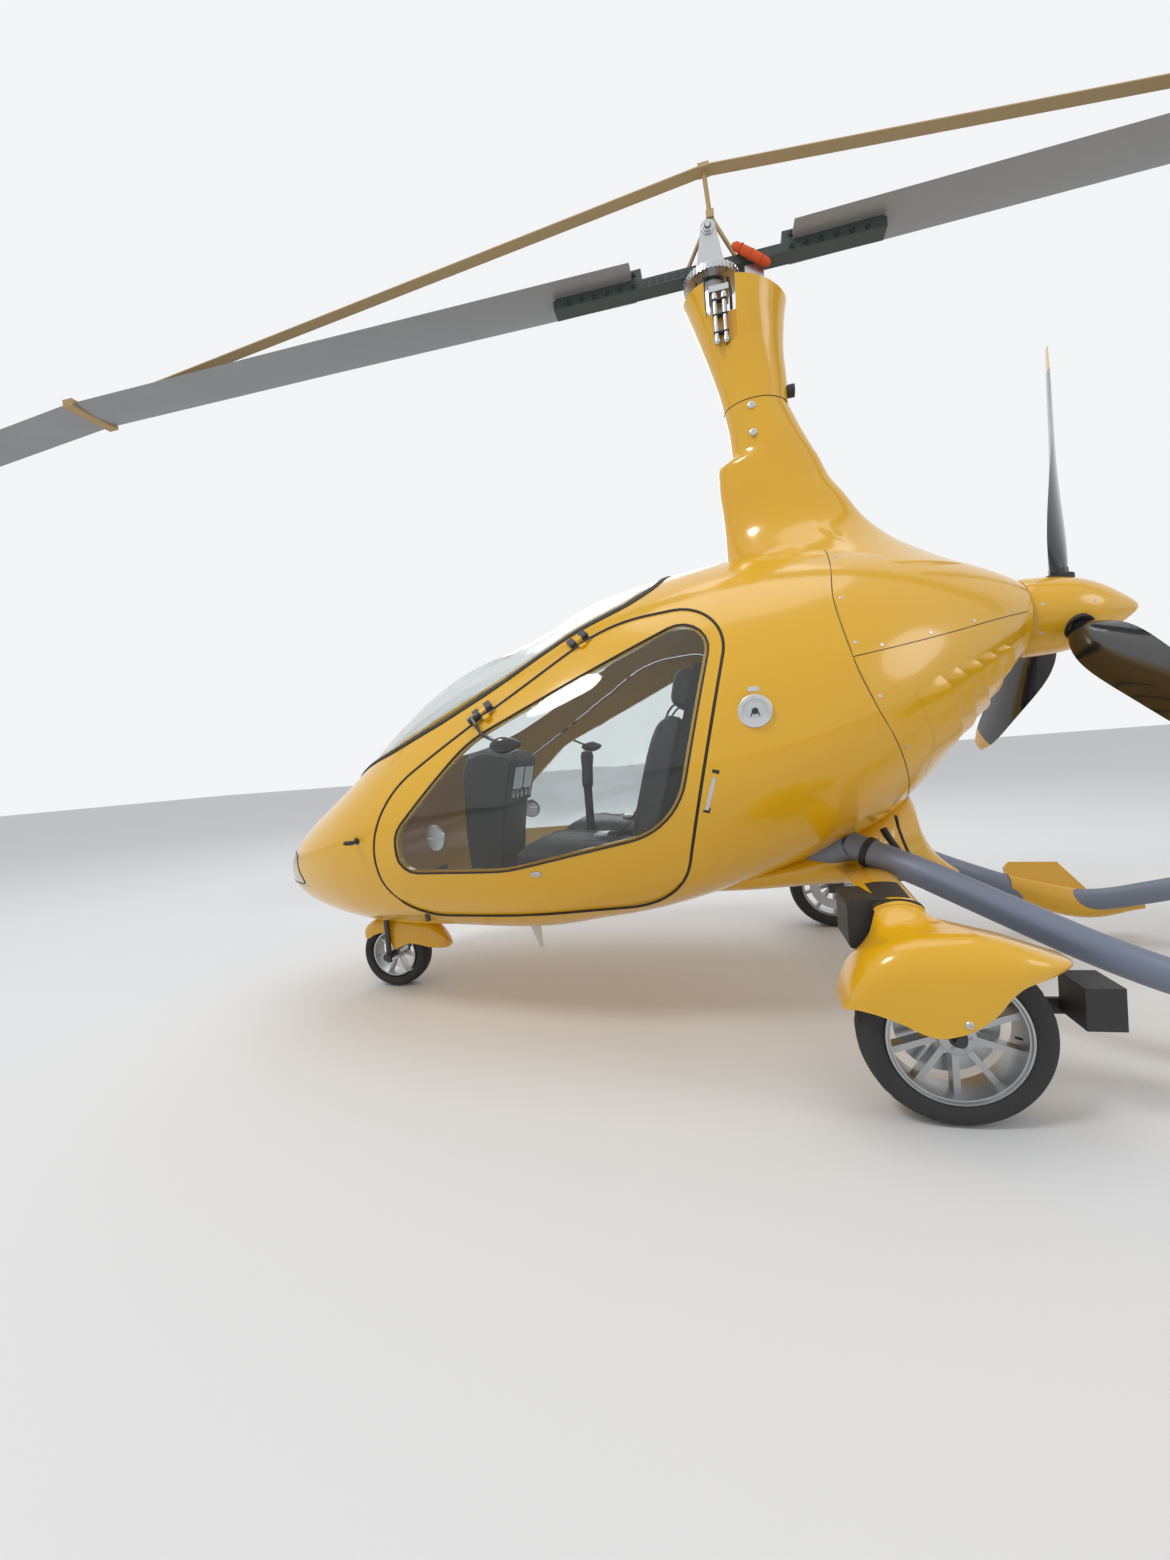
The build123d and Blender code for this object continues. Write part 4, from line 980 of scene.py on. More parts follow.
def cutPiece(piece, cutters):
    for cutter in cutters:
        change = piece.modifiers.new("cut", "BOOLEAN")
        change.operation = "DIFFERENCE"
        change.solver = "EXACT"
        change.object = cutter
        graph = bpy.context.evaluated_depsgraph_get()
        mesh = bpy.data.meshes.new_from_object(piece.evaluated_get(graph))
        piece.modifiers.clear()
        piece.data = mesh
    for cutter in cutters:
        bpy.data.objects.remove(cutter)


def cutterFrom(built, name):
    bmesh.ops.recalc_face_normals(built, faces=built.faces)
    mesh = bpy.data.meshes.new(name)
    built.to_mesh(mesh)
    built.free()
    cutter = bpy.data.objects.new(name, mesh)
    bpy.context.scene.collection.objects.link(cutter)
    return cutter


def makeHead():
    shape = mastShape
    rows = smoothTable(shape["head"], spread(2.130, 2.556, 60))
    built = bmesh.new()
    addLoft(built, [mastRing(row) for row in rows], capStart=True, capEnd=True)
    piece = makePiece(built, "mast_head_skin", "yellowPaint", sharp=40)
    inner = bmesh.new()
    rows = smoothTable(shape["head"], spread(shape["cupFloor"], 2.60, 30))
    addLoft(inner, [mastRing(row, 72, shape["wall"]) for row in rows], capStart=True, capEnd=True)
    frontX, frontZ = shape["rimFront"]
    rearX, rearZ = shape["rimRear"]
    slope = (rearZ - frontZ) / (rearX - frontX)
    cap = bmesh.new()
    corners = ((-0.4, -0.4), (0.5, -0.4), (0.5, 0.4), (-0.4, 0.4))
    low = [(x, y, frontZ + slope * (x - frontX)) for x, y in corners]
    addLoft(cap, [low, [(x, y, 2.8) for x, y, z in low]], capStart=True, capEnd=True)
    recess = bmesh.new()
    front, rear = shape["recess"]
    outline = [
        (front, shape["recessFloor"] + 0.010), ((front + rear) / 2, shape["recessFloor"] - 0.012),
        (rear, shape["recessFloor"] + 0.014), (rear + 0.004, 2.7), (front - 0.004, 2.7),
    ]
    addLoft(
        recess,
        [[(x, -0.30, z) for x, z in outline], [(x, shape["recessY"], z) for x, z in outline]],
        capStart=True, capEnd=True,
    )
    cutPiece(piece, [cutterFrom(inner, "cup"), cutterFrom(cap, "cap"), cutterFrom(recess, "recess")])
    piece.data.shade_smooth()
    piece.data.set_sharp_from_angle(angle=math.radians(40))
    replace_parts(piece, "mast_head")
    lines = bmesh.new()
    ring = mastRing((2.1293, 0.014, 0.236, 0.090), 72, -0.0006)
    addTube(lines, ring, 0.0012, 6, True, (0, 0, 1))
    makePiece(lines, "mast_ring_seam", "blackRubber")


# Wheel pants

pantShape = {
    # x, reach outboard, crown, height where the side turns upright, lower edge
    "stations": [
        (0.163, 0.095, 0.276, 0.274, 0.271), (0.168, 0.112, 0.300, 0.286, 0.274),
        (0.173, 0.124, 0.322, 0.294, 0.278), (0.182, 0.137, 0.345, 0.306, 0.283),
        (0.196, 0.150, 0.372, 0.322, 0.286), (0.214, 0.161, 0.398, 0.338, 0.285),
        (0.247, 0.170, 0.425, 0.354, 0.277), (0.283, 0.175, 0.441, 0.362, 0.263),
        (0.323, 0.1775, 0.450, 0.366, 0.244), (0.350, 0.1775, 0.452, 0.367, 0.237),
        (0.388, 0.1775, 0.454, 0.368, 0.243), (0.435, 0.177, 0.454, 0.368, 0.265),
        (0.468, 0.176, 0.449, 0.367, 0.292), (0.501, 0.173, 0.441, 0.368, 0.331),
        (0.530, 0.168, 0.432, 0.376, 0.351), (0.560, 0.159, 0.421, 0.380, 0.359),
        (0.590, 0.146, 0.409, 0.381, 0.366), (0.620, 0.126, 0.396, 0.381, 0.372),
        (0.643, 0.100, 0.386, 0.380, 0.375), (0.655, 0.070, 0.379, 0.378, 0.376),
    ],
    "innerY": 0.748, "crownAt": 0.60, "wall": 0.005,
    # inboard edge, which rises into a neck round the leg: x and height
    "neck": [
        (0.163, 0.273), (0.170, 0.300), (0.180, 0.330), (0.200, 0.365), (0.236, 0.402), (0.252, 0.425),
        (0.260, 0.450), (0.266, 0.474), (0.275, 0.488), (0.290, 0.497), (0.322, 0.503), (0.355, 0.497),
        (0.372, 0.487), (0.385, 0.472), (0.402, 0.460), (0.455, 0.444), (0.515, 0.428), (0.580, 0.404),
        (0.620, 0.389), (0.655, 0.377),
    ],
    "neckFall": 2.2,
    "bolt": (0.409, 0.1725, 0.270), "frontBolt": (0.181, 0.132, 0.310),
}


def pantRing(row, side, shape):
    x, reach, crown, wide, low = row
    inner = smoothTable(shape["neck"], [x])[0][1]
    shelf = shape["crownAt"] * reach
    ring = []
    for part in spread(0, 1, 18):
        z = crown + (inner - crown) * (1 - part) ** shape["neckFall"]
        ring.append(Vector((x, side * (shape["innerY"] + shelf * part), z)))
    for angle in spread(math.pi / 2, 0, 20)[1:]:
        y = shape["innerY"] + shelf + (reach - shelf) * math.cos(angle) ** 0.9
        ring.append(Vector((x, side * y, wide + (crown - wide) * math.sin(angle) ** 0.9)))
    for part in spread(0, 1, 11)[1:]:
        y = shape["innerY"] + reach * (1 - 0.035 * part ** 2)
        ring.append(Vector((x, side * y, wide + (low - wide) * part)))
    return ring


def makePants():
    shape = pantShape
    first, last = shape["stations"][0][0], shape["stations"][-1][0]
    places = [first + (last - first) * (1 - math.cos(turn)) / 2 for turn in spread(0, math.pi, 90)]
    for side, label in ((-1, "left"), (1, "right")):
        built = bmesh.new()
        rows = smoothTable(shape["stations"], places)
        faces = addLoft(built, [pantRing(row, side, shape) for row in rows], closed=False)
        bmesh.ops.recalc_face_normals(built, faces=built.faces)
        outward = sum(face.normal.y * side * face.calc_area() for face in faces)
        bmesh.ops.solidify(built, geom=faces, thickness=shape["wall"] if outward > 0 else -shape["wall"])
        piece = makePiece(built, f"wheel_pant_{label}", "yellowPaint", sharp=55)
        if side < 0:
            pantLeft = piece
        bolts = bmesh.new()
        x, reach, z = shape["bolt"]
        addBolt(bolts, (x, side * (shape["innerY"] + reach), z), (0, side, 0), 0.009, 0.004)
        x, reach, z = shape["frontBolt"]
        addBolt(bolts, (x, side * (shape["innerY"] + reach), z), (-0.8, side * 0.6, 0), 0.005, 0.002)
        makePiece(bolts, f"pant_bolts_{label}", "machinedMetal")
    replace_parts(pantLeft, "wheel_pants")


# Wheels

tyreShape = {
    # radius and half width, as shares of the tyre's own, from the bead over the tread
    "profile": [
        (0.724, 0.78), (0.740, 0.86), (0.780, 0.955), (0.840, 0.998), (0.900, 0.985), (0.935, 0.930),
        (0.958, 0.850), (0.972, 0.760), (0.983, 0.640), (0.986, 0.610), (0.962, 0.600), (0.962, 0.530),
        (0.988, 0.520), (0.994, 0.330), (0.996, 0.270), (0.970, 0.262), (0.970, 0.190), (0.997, 0.182),
        (0.999, 0.060), (1.000, 0.0),
    ],
    "segments": 132, "cut": 0.014,
    # outer radius, width and bead's radius
    "main": (0.210, 0.104, 0.152), "nose": (0.145, 0.088, 0.098),
}

# the main wheels' middles are mirror images, the nose wheel's is on the centre line
wheelShape = {
    "x": 0.405, "y": 0.812, "z": 0.210, "nose": (-1.512, 0, 0.145),
    "cap": [(0.041, 0), (0.040, 0.006), (0.034, 0.009), (0.016, 0.010), (0.0145, 0.004)], "capFace": 0.036,
    "lip": [(0.1515, 0), (0.1545, 0.002), (0.1545, 0.006), (0.149, 0.008), (0.1465, 0.003)], "lipFace": 0.043,
    "disc": [(0.074, 0.0), (0.118, 0.0), (0.118, 0.004), (0.074, 0.004)], "discFace": 0.044,
    "capBolts": 0.027, "spokes": (0.030, 0.078), "valve": ((0.120, 0.030), (0.131, 0.040)),
}


def makeTyre(centre, outer, width, bead):
    profile = [(max(r, bead / outer), h) for r, h in tyreShape["profile"]]
    profile = profile + [(r, -h) for r, h in reversed(profile[:-1])]
    count = tyreShape["segments"]
    rings = []
    for i in range(count):
        angle = math.tau * i / count
        ring = []
        for radius, across in profile:
            # blocks cut across the shoulders, staggered side to side
            groove = (i + (2 if across < 0 else 0)) % 4 == 0
            if groove and 0.27 < abs(across) < 0.80 and radius > 0.972:
                radius -= tyreShape["cut"]
            r = outer * radius * 0.9995
            around = Vector((r * math.cos(angle), across * width / 2, r * math.sin(angle)))
            ring.append(Vector(centre) + around)
        rings.append(ring)
    built = bmesh.new()
    made = [[built.verts.new(point) for point in ring] for ring in rings]
    for low, high in zip(made, made[1:] + made[:1]):
        for i in range(len(low)):
            j = (i + 1) % len(low)
            built.faces.new((low[i], low[j], high[j], high[i]))
    return built


def makeWheels():
    shape = wheelShape
    for side, label in ((-1, "left"), (1, "right")):
        body = f"main_wheel_{label}"
        outward = Vector((0, side, 0))
        centre = Vector((shape["x"], side * shape["y"], shape["z"]))
        tyre = makeTyre(centre, *tyreShape["main"])
        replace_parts(makePiece(tyre, f"road_tyre_{label}", "tyreRubber", body, 30), f"main_tyre_{label}")
        built = bmesh.new()
        face = centre + outward * shape["capFace"]
        addLathe(built, shape["cap"], face, outward, 40)
        for i in range(6):
            angle = math.tau * i / 6
            out = Vector((math.cos(angle), 0, math.sin(angle)))
            addBolt(built, face + outward * 0.008 + out * shape["capBolts"], outward, 0.0045, 0.003)
        for end in (-1, 1):
            lip = centre + outward * (end * shape["lipFace"])
            addLathe(built, shape["lip"], lip, outward * end, 96, False)
        makePiece(built, f"wheel_cap_{label}", "wheelAlloy", body)
        built = bmesh.new()
        inner = centre - outward * shape["discFace"]
        addLathe(built, shape["disc"], inner, outward, 72, False)
        for i in range(5):
            angle = math.tau * i / 5
            out = Vector((math.cos(angle), 0, math.sin(angle)))
            start = inner + outward * 0.002
            addTube(built, [start + out * reach for reach in shape["spokes"]], 0.0045, 8)
        makePiece(built, f"brake_disc_{label}", "machinedMetal", body)
        built = bmesh.new()
        addTube(built, [centre + Vector((x, side * y, 0)) for x, y in shape["valve"]], 0.003, 8)
        makePiece(built, f"valve_{label}", "blackRubber", body)
    tyre = makeTyre(shape["nose"], *tyreShape["nose"])
    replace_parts(makePiece(tyre, "nose_road_tyre", "tyreRubber", "nose_wheel", 30), "nose_tyre")


# Nose wheel's spat: side skirts over the tyre, with a tongue behind each fork leg

spatShape = {
    # x, top, lower edge, half width
    "stations": [
        (-1.654, 0.240, 0.226, 0.012), (-1.648, 0.254, 0.221, 0.034), (-1.625, 0.276, 0.213, 0.052),
        (-1.585, 0.296, 0.231, 0.060), (-1.545, 0.304, 0.240, 0.0615), (-1.518, 0.306, 0.222, 0.0620),
        (-1.492, 0.306, 0.170, 0.0625), (-1.465, 0.305, 0.178, 0.0625), (-1.425, 0.302, 0.194, 0.0620),
        (-1.380, 0.296, 0.188, 0.0600), (-1.340, 0.282, 0.176, 0.0540), (-1.300, 0.248, 0.168, 0.0430),
        (-1.270, 0.208, 0.166, 0.0270), (-1.256, 0.184, 0.170, 0.0080),
    ],
    "wall": 0.003,
}


def makeSpat():
    first, last = spatShape["stations"][0][0], spatShape["stations"][-1][0]
    rings = []
    for x, top, low, half in smoothTable(spatShape["stations"], spread(first, last, 90)):
        ring = []
        for turn in spread(0, math.pi, 33):
            y = half * math.copysign(abs(math.cos(turn)) ** 0.6, math.cos(turn))
            ring.append(Vector((x, y, low + (top - low) * math.sin(turn) ** 0.75)))
        rings.append(ring)
    built = bmesh.new()
    faces = addLoft(built, rings, closed=False)
    bmesh.ops.recalc_face_normals(built, faces=built.faces)
    lift = sum(face.normal.z * face.calc_area() for face in faces)
    bmesh.ops.solidify(built, geom=faces, thickness=spatShape["wall"] if lift > 0 else -spatShape["wall"])
    piece = makePiece(built, "nose_spat", "yellowPaint", "nose_fork", 60)
    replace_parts(piece, "nose_mudguard")


# Nose lamps: bright bowls under the clear covers

lampShape = {
    "y": 0.255, "low": 0.505, "high": 0.640,
    # bowls under the cover: y and z from its middle, radius
    "bowls": ((-0.038, 0.012, 0.034), (0.040, -0.008, 0.030)), "depth": 0.030,
    # bowl and bulb, radius as a share of the bowl's and distance out
    "bowl": [
        (0.22, -0.004), (0.55, 0.002), (0.82, 0.010), (1.0, 0.022), (0.96, 0.022), (0.78, 0.012),
        (0.52, 0.0045), (0.22, 0.000),
    ],
    "bulb": [(0.20, -0.002), (0.24, 0.006), (0.16, 0.012)],
}


def lampPlace(y, z):
    return lampSkin.ray_cast(Vector((-2.4, y, z)), Vector((1, 0, 0)))[:2]


lampSkin = makeTree(["nose_lamps", "cabin_shell"])


def makeLamps():
    shape = lampShape
    height = (shape["low"] + shape["high"]) / 2
    corners = [(-0.090, -0.060, 0.028), (0.090, -0.060, 0.028), (0.090, 0.060, 0.028), (-0.090, 0.060, 0.028)]
    for side, label in ((-1, "left"), (1, "right")):
        rim = bmesh.new()
        edge = []
        for point in roundedOutline(corners, 0, 0.012):
            place, normal = lampPlace(side * shape["y"] + point.x, height + point.y)
            if place:
                edge.append(place)
        addTube(rim, edge, 0.0022, 8, True, (1, 0, 0))
        makePiece(rim, f"lamp_rim_{label}", "blackRubber")
        bowls = bmesh.new()
        bulbs = bmesh.new()
        for y, z, radius in shape["bowls"]:
            place, normal = lampPlace(side * (shape["y"] + y), height + z)
            if not place:
                continue
            back = place - normal * shape["depth"]
            addLathe(bowls, [(share * radius, out) for share, out in shape["bowl"]], back, normal, 36, False)
            addLathe(bulbs, [(share * radius, out) for share, out in shape["bulb"]], back, normal, 20)
        makePiece(bowls, f"lamp_bowls_{label}", "mirrorFace")
        makePiece(bulbs, f"lamp_bulbs_{label}", "whitePaint")


# Small fittings on the body

fittings = {
    "filler": (0.021, -0.615, 1.007), "fillerBolts": 0.0385,
    "fillerRing": [
        (0.0465, -0.003), (0.0465, 0.0015), (0.044, 0.003), (0.033, 0.003), (0.032, 0.001), (0.027, 0.001),
        (0.026, 0.0035), (0.010, 0.004),
    ],
    "fillerLock": [(0.0095, 0), (0.0095, 0.004), (0.008, 0.005), (0.0045, 0.005), (0.004, 0.002)],
    "plateWidth": 0.030,
    # side view places
    "handle": (-0.104, 0.800), "doorLock": (-0.660, 0.567), "vent": (-0.914, 0.368),
    "indicator": (-1.303, 0.695),
    "antenna": (-0.862, -0.05),
}


def makeFillerTrim():
    x, y, z = fittings["filler"]
    port = (0, -1, 0)
    centre = Vector((x, y - 0.004, z))
    built = bmesh.new()
    addLathe(built, fittings["fillerRing"], centre, port, 56)
    for i in range(6):
        angle = math.tau * (i + 0.5) / 6
        reach = fittings["fillerBolts"]
        spot = centre + Vector((reach * math.cos(angle), -0.003, reach * math.sin(angle)))
        addBolt(built, spot, port, 0.0036, 0.0014)
    makePiece(built, "filler_ring", "machinedMetal")
    lock = bmesh.new()
    addLathe(lock, fittings["fillerLock"], centre + Vector((0, -0.0035, 0)), port, 28)
    for end in (-1, 1):
        start, tip = Vector((end * 0.008, -0.006, -0.004)), Vector((end * 0.012, -0.0065, -0.014))
        addTube(lock, [centre + start, centre + tip], 0.0018, 8)
    makePiece(lock, "filler_lock", "darkSteel")
    plate = bmesh.new()
    spot, facing = skinAt(x, z + 0.062)
    turn = facing.to_track_quat("Z", "Y").to_matrix().to_4x4()
    turn.translation = spot
    half = fittings["plateWidth"] / 2
    addBox(plate, (-half, -0.007, -0.001), (half, 0.007, 0.0012), 0.0008, turn)
    makePiece(plate, "filler_plate", "machinedMetal")


def makeHandles():
    x, z = fittings["handle"]
    for side, label in ((-1, "left"), (1, "right")):
        spot, facing = skinAt(x, z, side)
        low = skinAt(x - 0.030, z - 0.075, side)[0]
        high = skinAt(x + 0.012, z + 0.062, side)[0]
        run = (high - low).normalized()
        across = facing.cross(run).normalized()
        turn = Matrix((across, run, facing)).transposed().to_4x4()
        turn.translation = (low + high) / 2
        length = (high - low).length
        cup = bmesh.new()
        addBox(cup, (-0.017, -length / 2, -0.004), (0.017, length / 2, 0.0022), 0.004, turn)
        makePiece(cup, f"handle_plate_{label}", "yellowPaint", f"door_{label}")
        slot = bmesh.new()
        reach = length / 2 - 0.008
        addBox(slot, (-0.0105, -reach, -0.001), (0.0105, reach, 0.0028), 0.003, turn)
        makePiece(slot, f"handle_recess_{label}", "blackPlastic", f"door_{label}")
        lever = bmesh.new()
        addBox(lever, (-0.006, -length / 2 + 0.018, 0.002), (0.006, length / 2 - 0.030, 0.0065), 0.002, turn)
        makePiece(lever, f"handle_lever_{label}", "machinedMetal", f"door_{label}")
        latch = bmesh.new()
        spot, facing = skinAt(*fittings["doorLock"], side)
        addLathe(latch, [(0.012, -0.001), (0.012, 0.003), (0.009, 0.005), (0.004, 0.005)], spot, facing, 28)
        turn = Matrix.Translation(spot) @ facing.to_track_quat("Z", "Y").to_matrix().to_4x4()
        addBox(latch, (-0.020, -0.008, -0.001), (-0.006, 0.008, 0.002), 0.001, turn)
        makePiece(latch, f"door_lock_{label}", "machinedMetal", f"door_{label}")


def makeBellyFittings():
    for side, label in ((-1, "left"), (1, "right")):
        spot, facing = skinAt(*fittings["vent"], side)
        built = bmesh.new()
        profile = [(0.022, -0.001), (0.022, 0.0015), (0.018, 0.0025), (0.010, 0.0022), (0.009, 0.0005)]
        addLathe(built, profile, spot, facing, 32)
        makePiece(built, f"belly_vent_{label}", "yellowPaint")
        spot, facing = skinAt(*fittings["indicator"], side)
        stalk = bmesh.new()
        tip = spot + facing * 0.030 + Vector((-0.006, 0, -0.002))
        addTube(stalk, [spot - facing * 0.002, spot + facing * 0.012, tip], 0.0042, 12)
        addLathe(stalk, [(0.012, -0.001), (0.012, 0.002), (0.006, 0.005)], spot, facing, 20)
        makePiece(stalk, f"indicator_stalk_{label}", "blackPlastic")
        lens = bmesh.new()
        profile = [(0.0055, -0.020), (0.0075, -0.012), (0.0075, 0.010), (0.004, 0.016)]
        addLathe(lens, profile, tip, (-0.9, side * 0.35, 0), 20)
        makePiece(lens, f"indicator_lens_{label}", "blackPlastic")
    built = bmesh.new()
    x, y = fittings["antenna"]
    under = bodySkin.ray_cast(Vector((x, y, 0)), Vector((0, 0, 1)))[0]
    top = under.z + 0.004
    rows = []
    for part in spread(0, 1, 10):
        chord = 0.050 * (1 - part) + 0.016 * part
        middle = x + 0.022 * part
        height = top - 0.105 * part
        thick = 0.004 * (1 - 0.6 * part)
        rows.append([
            Vector((middle + chord / 2 * math.cos(angle), y + thick * math.sin(angle), height))
            for angle in spread(0, math.tau, 21)[:-1]
        ])
    addLoft(built, rows, capStart=True, capEnd=True)
    makePiece(built, "belly_antenna", "whitePaint")


mirrorShape = {
    "clampHalf": 0.017, "clampRadius": 0.011,
    "elbow": (-0.800, -0.588, 1.012), "head": (-0.716, -0.612, 0.974), "headSize": (0.050, 0.018, 0.030),
}


def makeMirrors():
    shape = mirrorShape
    joints = frame["record"]["behaviour"]["joints"]
    for side, label in ((-1, "left"), (1, "right")):
        built = bmesh.new()
        hinge = next(joint for joint in joints if joint["name"] == f"door_{label}_hinge")
        foot, along = Vector(hinge["pos_m"]), Vector(hinge["axis"]).normalized()
        facing = Vector((0, side, 0))
        elbow = Vector((shape["elbow"][0], -side * shape["elbow"][1], shape["elbow"][2]))
        head = Vector((shape["head"][0], -side * shape["head"][1], shape["head"][2]))
        reach = along * shape["clampHalf"]
        addTube(built, [foot - reach, foot + reach], shape["clampRadius"], 20)
        arm = [foot, foot + facing * 0.018 + Vector((0.006, 0, -0.004)), elbow, head]
        curve = [arm[0], arm[1], arm[1].lerp(arm[2], 0.5), arm[2], arm[2].lerp(arm[3], 0.5), arm[3]]
        addTube(built, curve, 0.0055, 12)
        sizeX, sizeY, sizeZ = shape["headSize"]
        rings = []
        for part in spread(0.0, 1.0, 16):
            x = head.x - sizeX + 2 * sizeX * part
            swell = math.sin(math.pi * min(1, max(0.02, part * 0.98 + 0.01))) ** 0.55 * (1 - 0.35 * part)
            wide, high = sizeY * swell, sizeZ * swell
            rings.append([
                Vector((x, head.y + wide * math.cos(angle), head.z + high * math.sin(angle)))
                for angle in spread(0, math.tau, 25)[:-1]
            ])
        addLoft(built, rings, capStart=True, capEnd=True)
        makePiece(built, f"mirror_{label}", "blackGloss", f"door_{label}", 50)


# Rotor head fittings

headShape = {
    "teeterBolt": (0.0, 0.0515, 2.768), "barFace": 0.031,
    "teeterNut": [
        (0.024, 0), (0.024, 0.003), (0.019, 0.004), (0.018, 0.012), (0.010, 0.013), (0.009, 0.018),
        (0.004, 0.019),
    ],
    "holes": (-0.088, -0.118, -0.148, -0.178, -0.208, -0.238), "holeZ": 2.651,
    "hole": [(0.0105, 0.0), (0.0105, 0.0008), (0.0075, 0.0010), (0.0068, 0.0)],
    "bolts": (0.28, 0.33, 0.38, 0.43, 0.48, 0.53), "boltRows": (2.690, 2.648),
    # pouch on the hub bar, from and to, with its half height and half thickness
    "pouch": ((0.080, -0.052, 2.690), (0.202, -0.052, 2.591)), "pouchSize": (0.016, 0.013),
    "pouchBands": (0.22, 0.50, 0.78),
    "motor": [(0.022, 0), (0.022, 0.05), (0.018, 0.054), (0.018, 0.10), (0.012, 0.104)],
    "motorFoot": (0.150, -0.005, 2.500),
    "posts": ((-0.060, -0.058), (-0.030, -0.078), (0.062, -0.052)), "clips": (2.36, 2.42, 2.47),
    "rodX": (0.004, 0.036), "rodY": -0.104,
    "rodTop": [(0.012, 0), (0.0125, 0.006), (0.0125, 0.018), (0.010, 0.022)],
    "rodLow": [(0.0115, 0), (0.012, 0.005), (0.0105, 0.016)],
    "screws": ((0.105, 0.0895, 2.105), (0.105, 0.0895, 2.011)),
    "screw": [(0.0125, -0.003), (0.0125, 0.001), (0.010, 0.0025), (0.004, 0.0028), (0.0035, 0.001)],
}


def makeHeadFittings():
    shape = headShape
    built = bmesh.new()
    x, y, z = shape["teeterBolt"]
    for side in (-1, 1):
        addLathe(built, shape["teeterNut"], (x, side * y, z), (0, side, 0), 6)
    makePiece(built, "teeter_nuts", "machinedMetal", "rotor", 25)
    built = bmesh.new()
    for side in (-1, 1):
        face = side * shape["barFace"]
        for x in shape["holes"]:
            addLathe(built, shape["hole"], (x, face, shape["holeZ"]), (0, side, 0), 24)
            addLathe(built, [(0.0066, 0.0), (0.0066, 0.0006)], (x, face, shape["holeZ"]), (0, side, 0), 20)
        for x in shape["bolts"]:
            for end in (-1, 1):
                for z in shape["boltRows"]:
                    addBolt(built, (end * x, face, z), (0, side, 0), 0.008, 0.007)
    makePiece(built, "bar_bolts", "darkSteel", "rotor")
    built = bmesh.new()
    start, end = [Vector(point) for point in shape["pouch"]]
    run = end - start
    up = Vector((-run.z, 0, run.x)).normalized()
    across = Vector((0, 1, 0))
    high, wide = shape["pouchSize"]
    turns = spread(0, math.tau, 21)[:-1]
    rings = []
    for part in spread(0, 1, 14):
        swell = 1 - 0.16 * math.cos(math.tau * part) * 0.5 - (0.5 if part in (0, 1) else 0)
        point = start + run * part
        rings.append([
            point + up * (high * swell * math.sin(turn)) + across * (wide * swell * math.cos(turn))
            for turn in turns
        ])
    addLoft(built, rings, capStart=True, capEnd=True)
    high, wide = high + 0.0015, wide + 0.0015
    for part in shape["pouchBands"]:
        point = start + run * part
        line = [point + up * (high * math.sin(turn)) + across * (wide * math.cos(turn)) for turn in turns]
        addTube(built, line, 0.0016, 6, True, run.normalized())
    makePiece(built, "blade_tag_pouch", "orangeCloth", "rotor")
    built = bmesh.new()
    # drive gear, motor and clips around the toothed ring
    addLathe(built, shape["motor"], shape["motorFoot"], (0, 0, 1), 28)
    addBox(built, (0.118, -0.030, 2.52), (0.182, 0.034, 2.566), 0.006)
    makePiece(built, "spin_up_motor", "darkSteel")
    built = bmesh.new()
    for x, y in shape["posts"]:
        addTube(built, [(x, y, 2.470), (x * 1.02, y * 1.04, 2.53), (x * 0.9, y * 0.9, 2.585)], 0.005, 8)
    for z in shape["clips"]:
        addBox(built, (-0.006, -0.114, z), (0.046, -0.095, z + 0.006), 0.0015)
    makePiece(built, "rod_clips", "blackPlastic")
    built = bmesh.new()
    for x in shape["rodX"]:
        addLathe(built, shape["rodTop"], (x, shape["rodY"], 2.476), (0, 0, 1), 20)
        addLathe(built, shape["rodLow"], (x, shape["rodY"], 2.330), (0, 0, 1), 20)
    makePiece(built, "rod_ends", "machinedMetal")
    built = bmesh.new()
    for x, y, z in shape["screws"]:
        for side in (-1, 1):
            addLathe(built, shape["screw"], (x, side * y, z), (0, side, 0), 28)
    makePiece(built, "mast_screws", "machinedMetal")


# Gear bow, step pads and bands, boom rings

legShape = {
    # distance out, front edge, chord and height of the bow that both legs share
    "stations": [(0.0, 0.250, 0.170, 0.470), (0.450, 0.262, 0.130, 0.496), (0.800, 0.266, 0.112, 0.478)],
    "end": 0.756, "halfThick": 0.017,
    # bands: distance out and half width
    "pad": (0.560, 0.700), "bands": ((0.724, 0.0033), (0.738, 0.006)), "bandLift": 0.0022,
    "ring": [(0.0435, 0.0), (0.0475, 0.002), (0.0475, 0.020), (0.0435, 0.022)],
    "boom": ((0.300, 0.285, 0.572), (0.465, 0.420, 0.505)), "ringAlong": 0.055,
}


def bowAt(y):
    return smoothTable(legShape["stations"], [abs(y)])[0][1:]


def bowRing(y, lift=0.0):
    front, chord, z = bowAt(y)
    wide, high = chord / 2 + lift, legShape["halfThick"] + lift
    return [
        Vector((front + chord / 2 + wide * math.cos(turn), y, z + high * math.sin(turn)))
        for turn in spread(0, math.tau, 49)[:-1]
    ]


def makeBow():
    built = bmesh.new()
    rings = [bowRing(y) for y in spread(-legShape["end"], legShape["end"], 60)]
    addLoft(built, rings, capStart=True, capEnd=True)
    piece = makePiece(built, "gear_bow_skin", "yellowPaint", sharp=50)
    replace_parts(piece, "gear_bow")


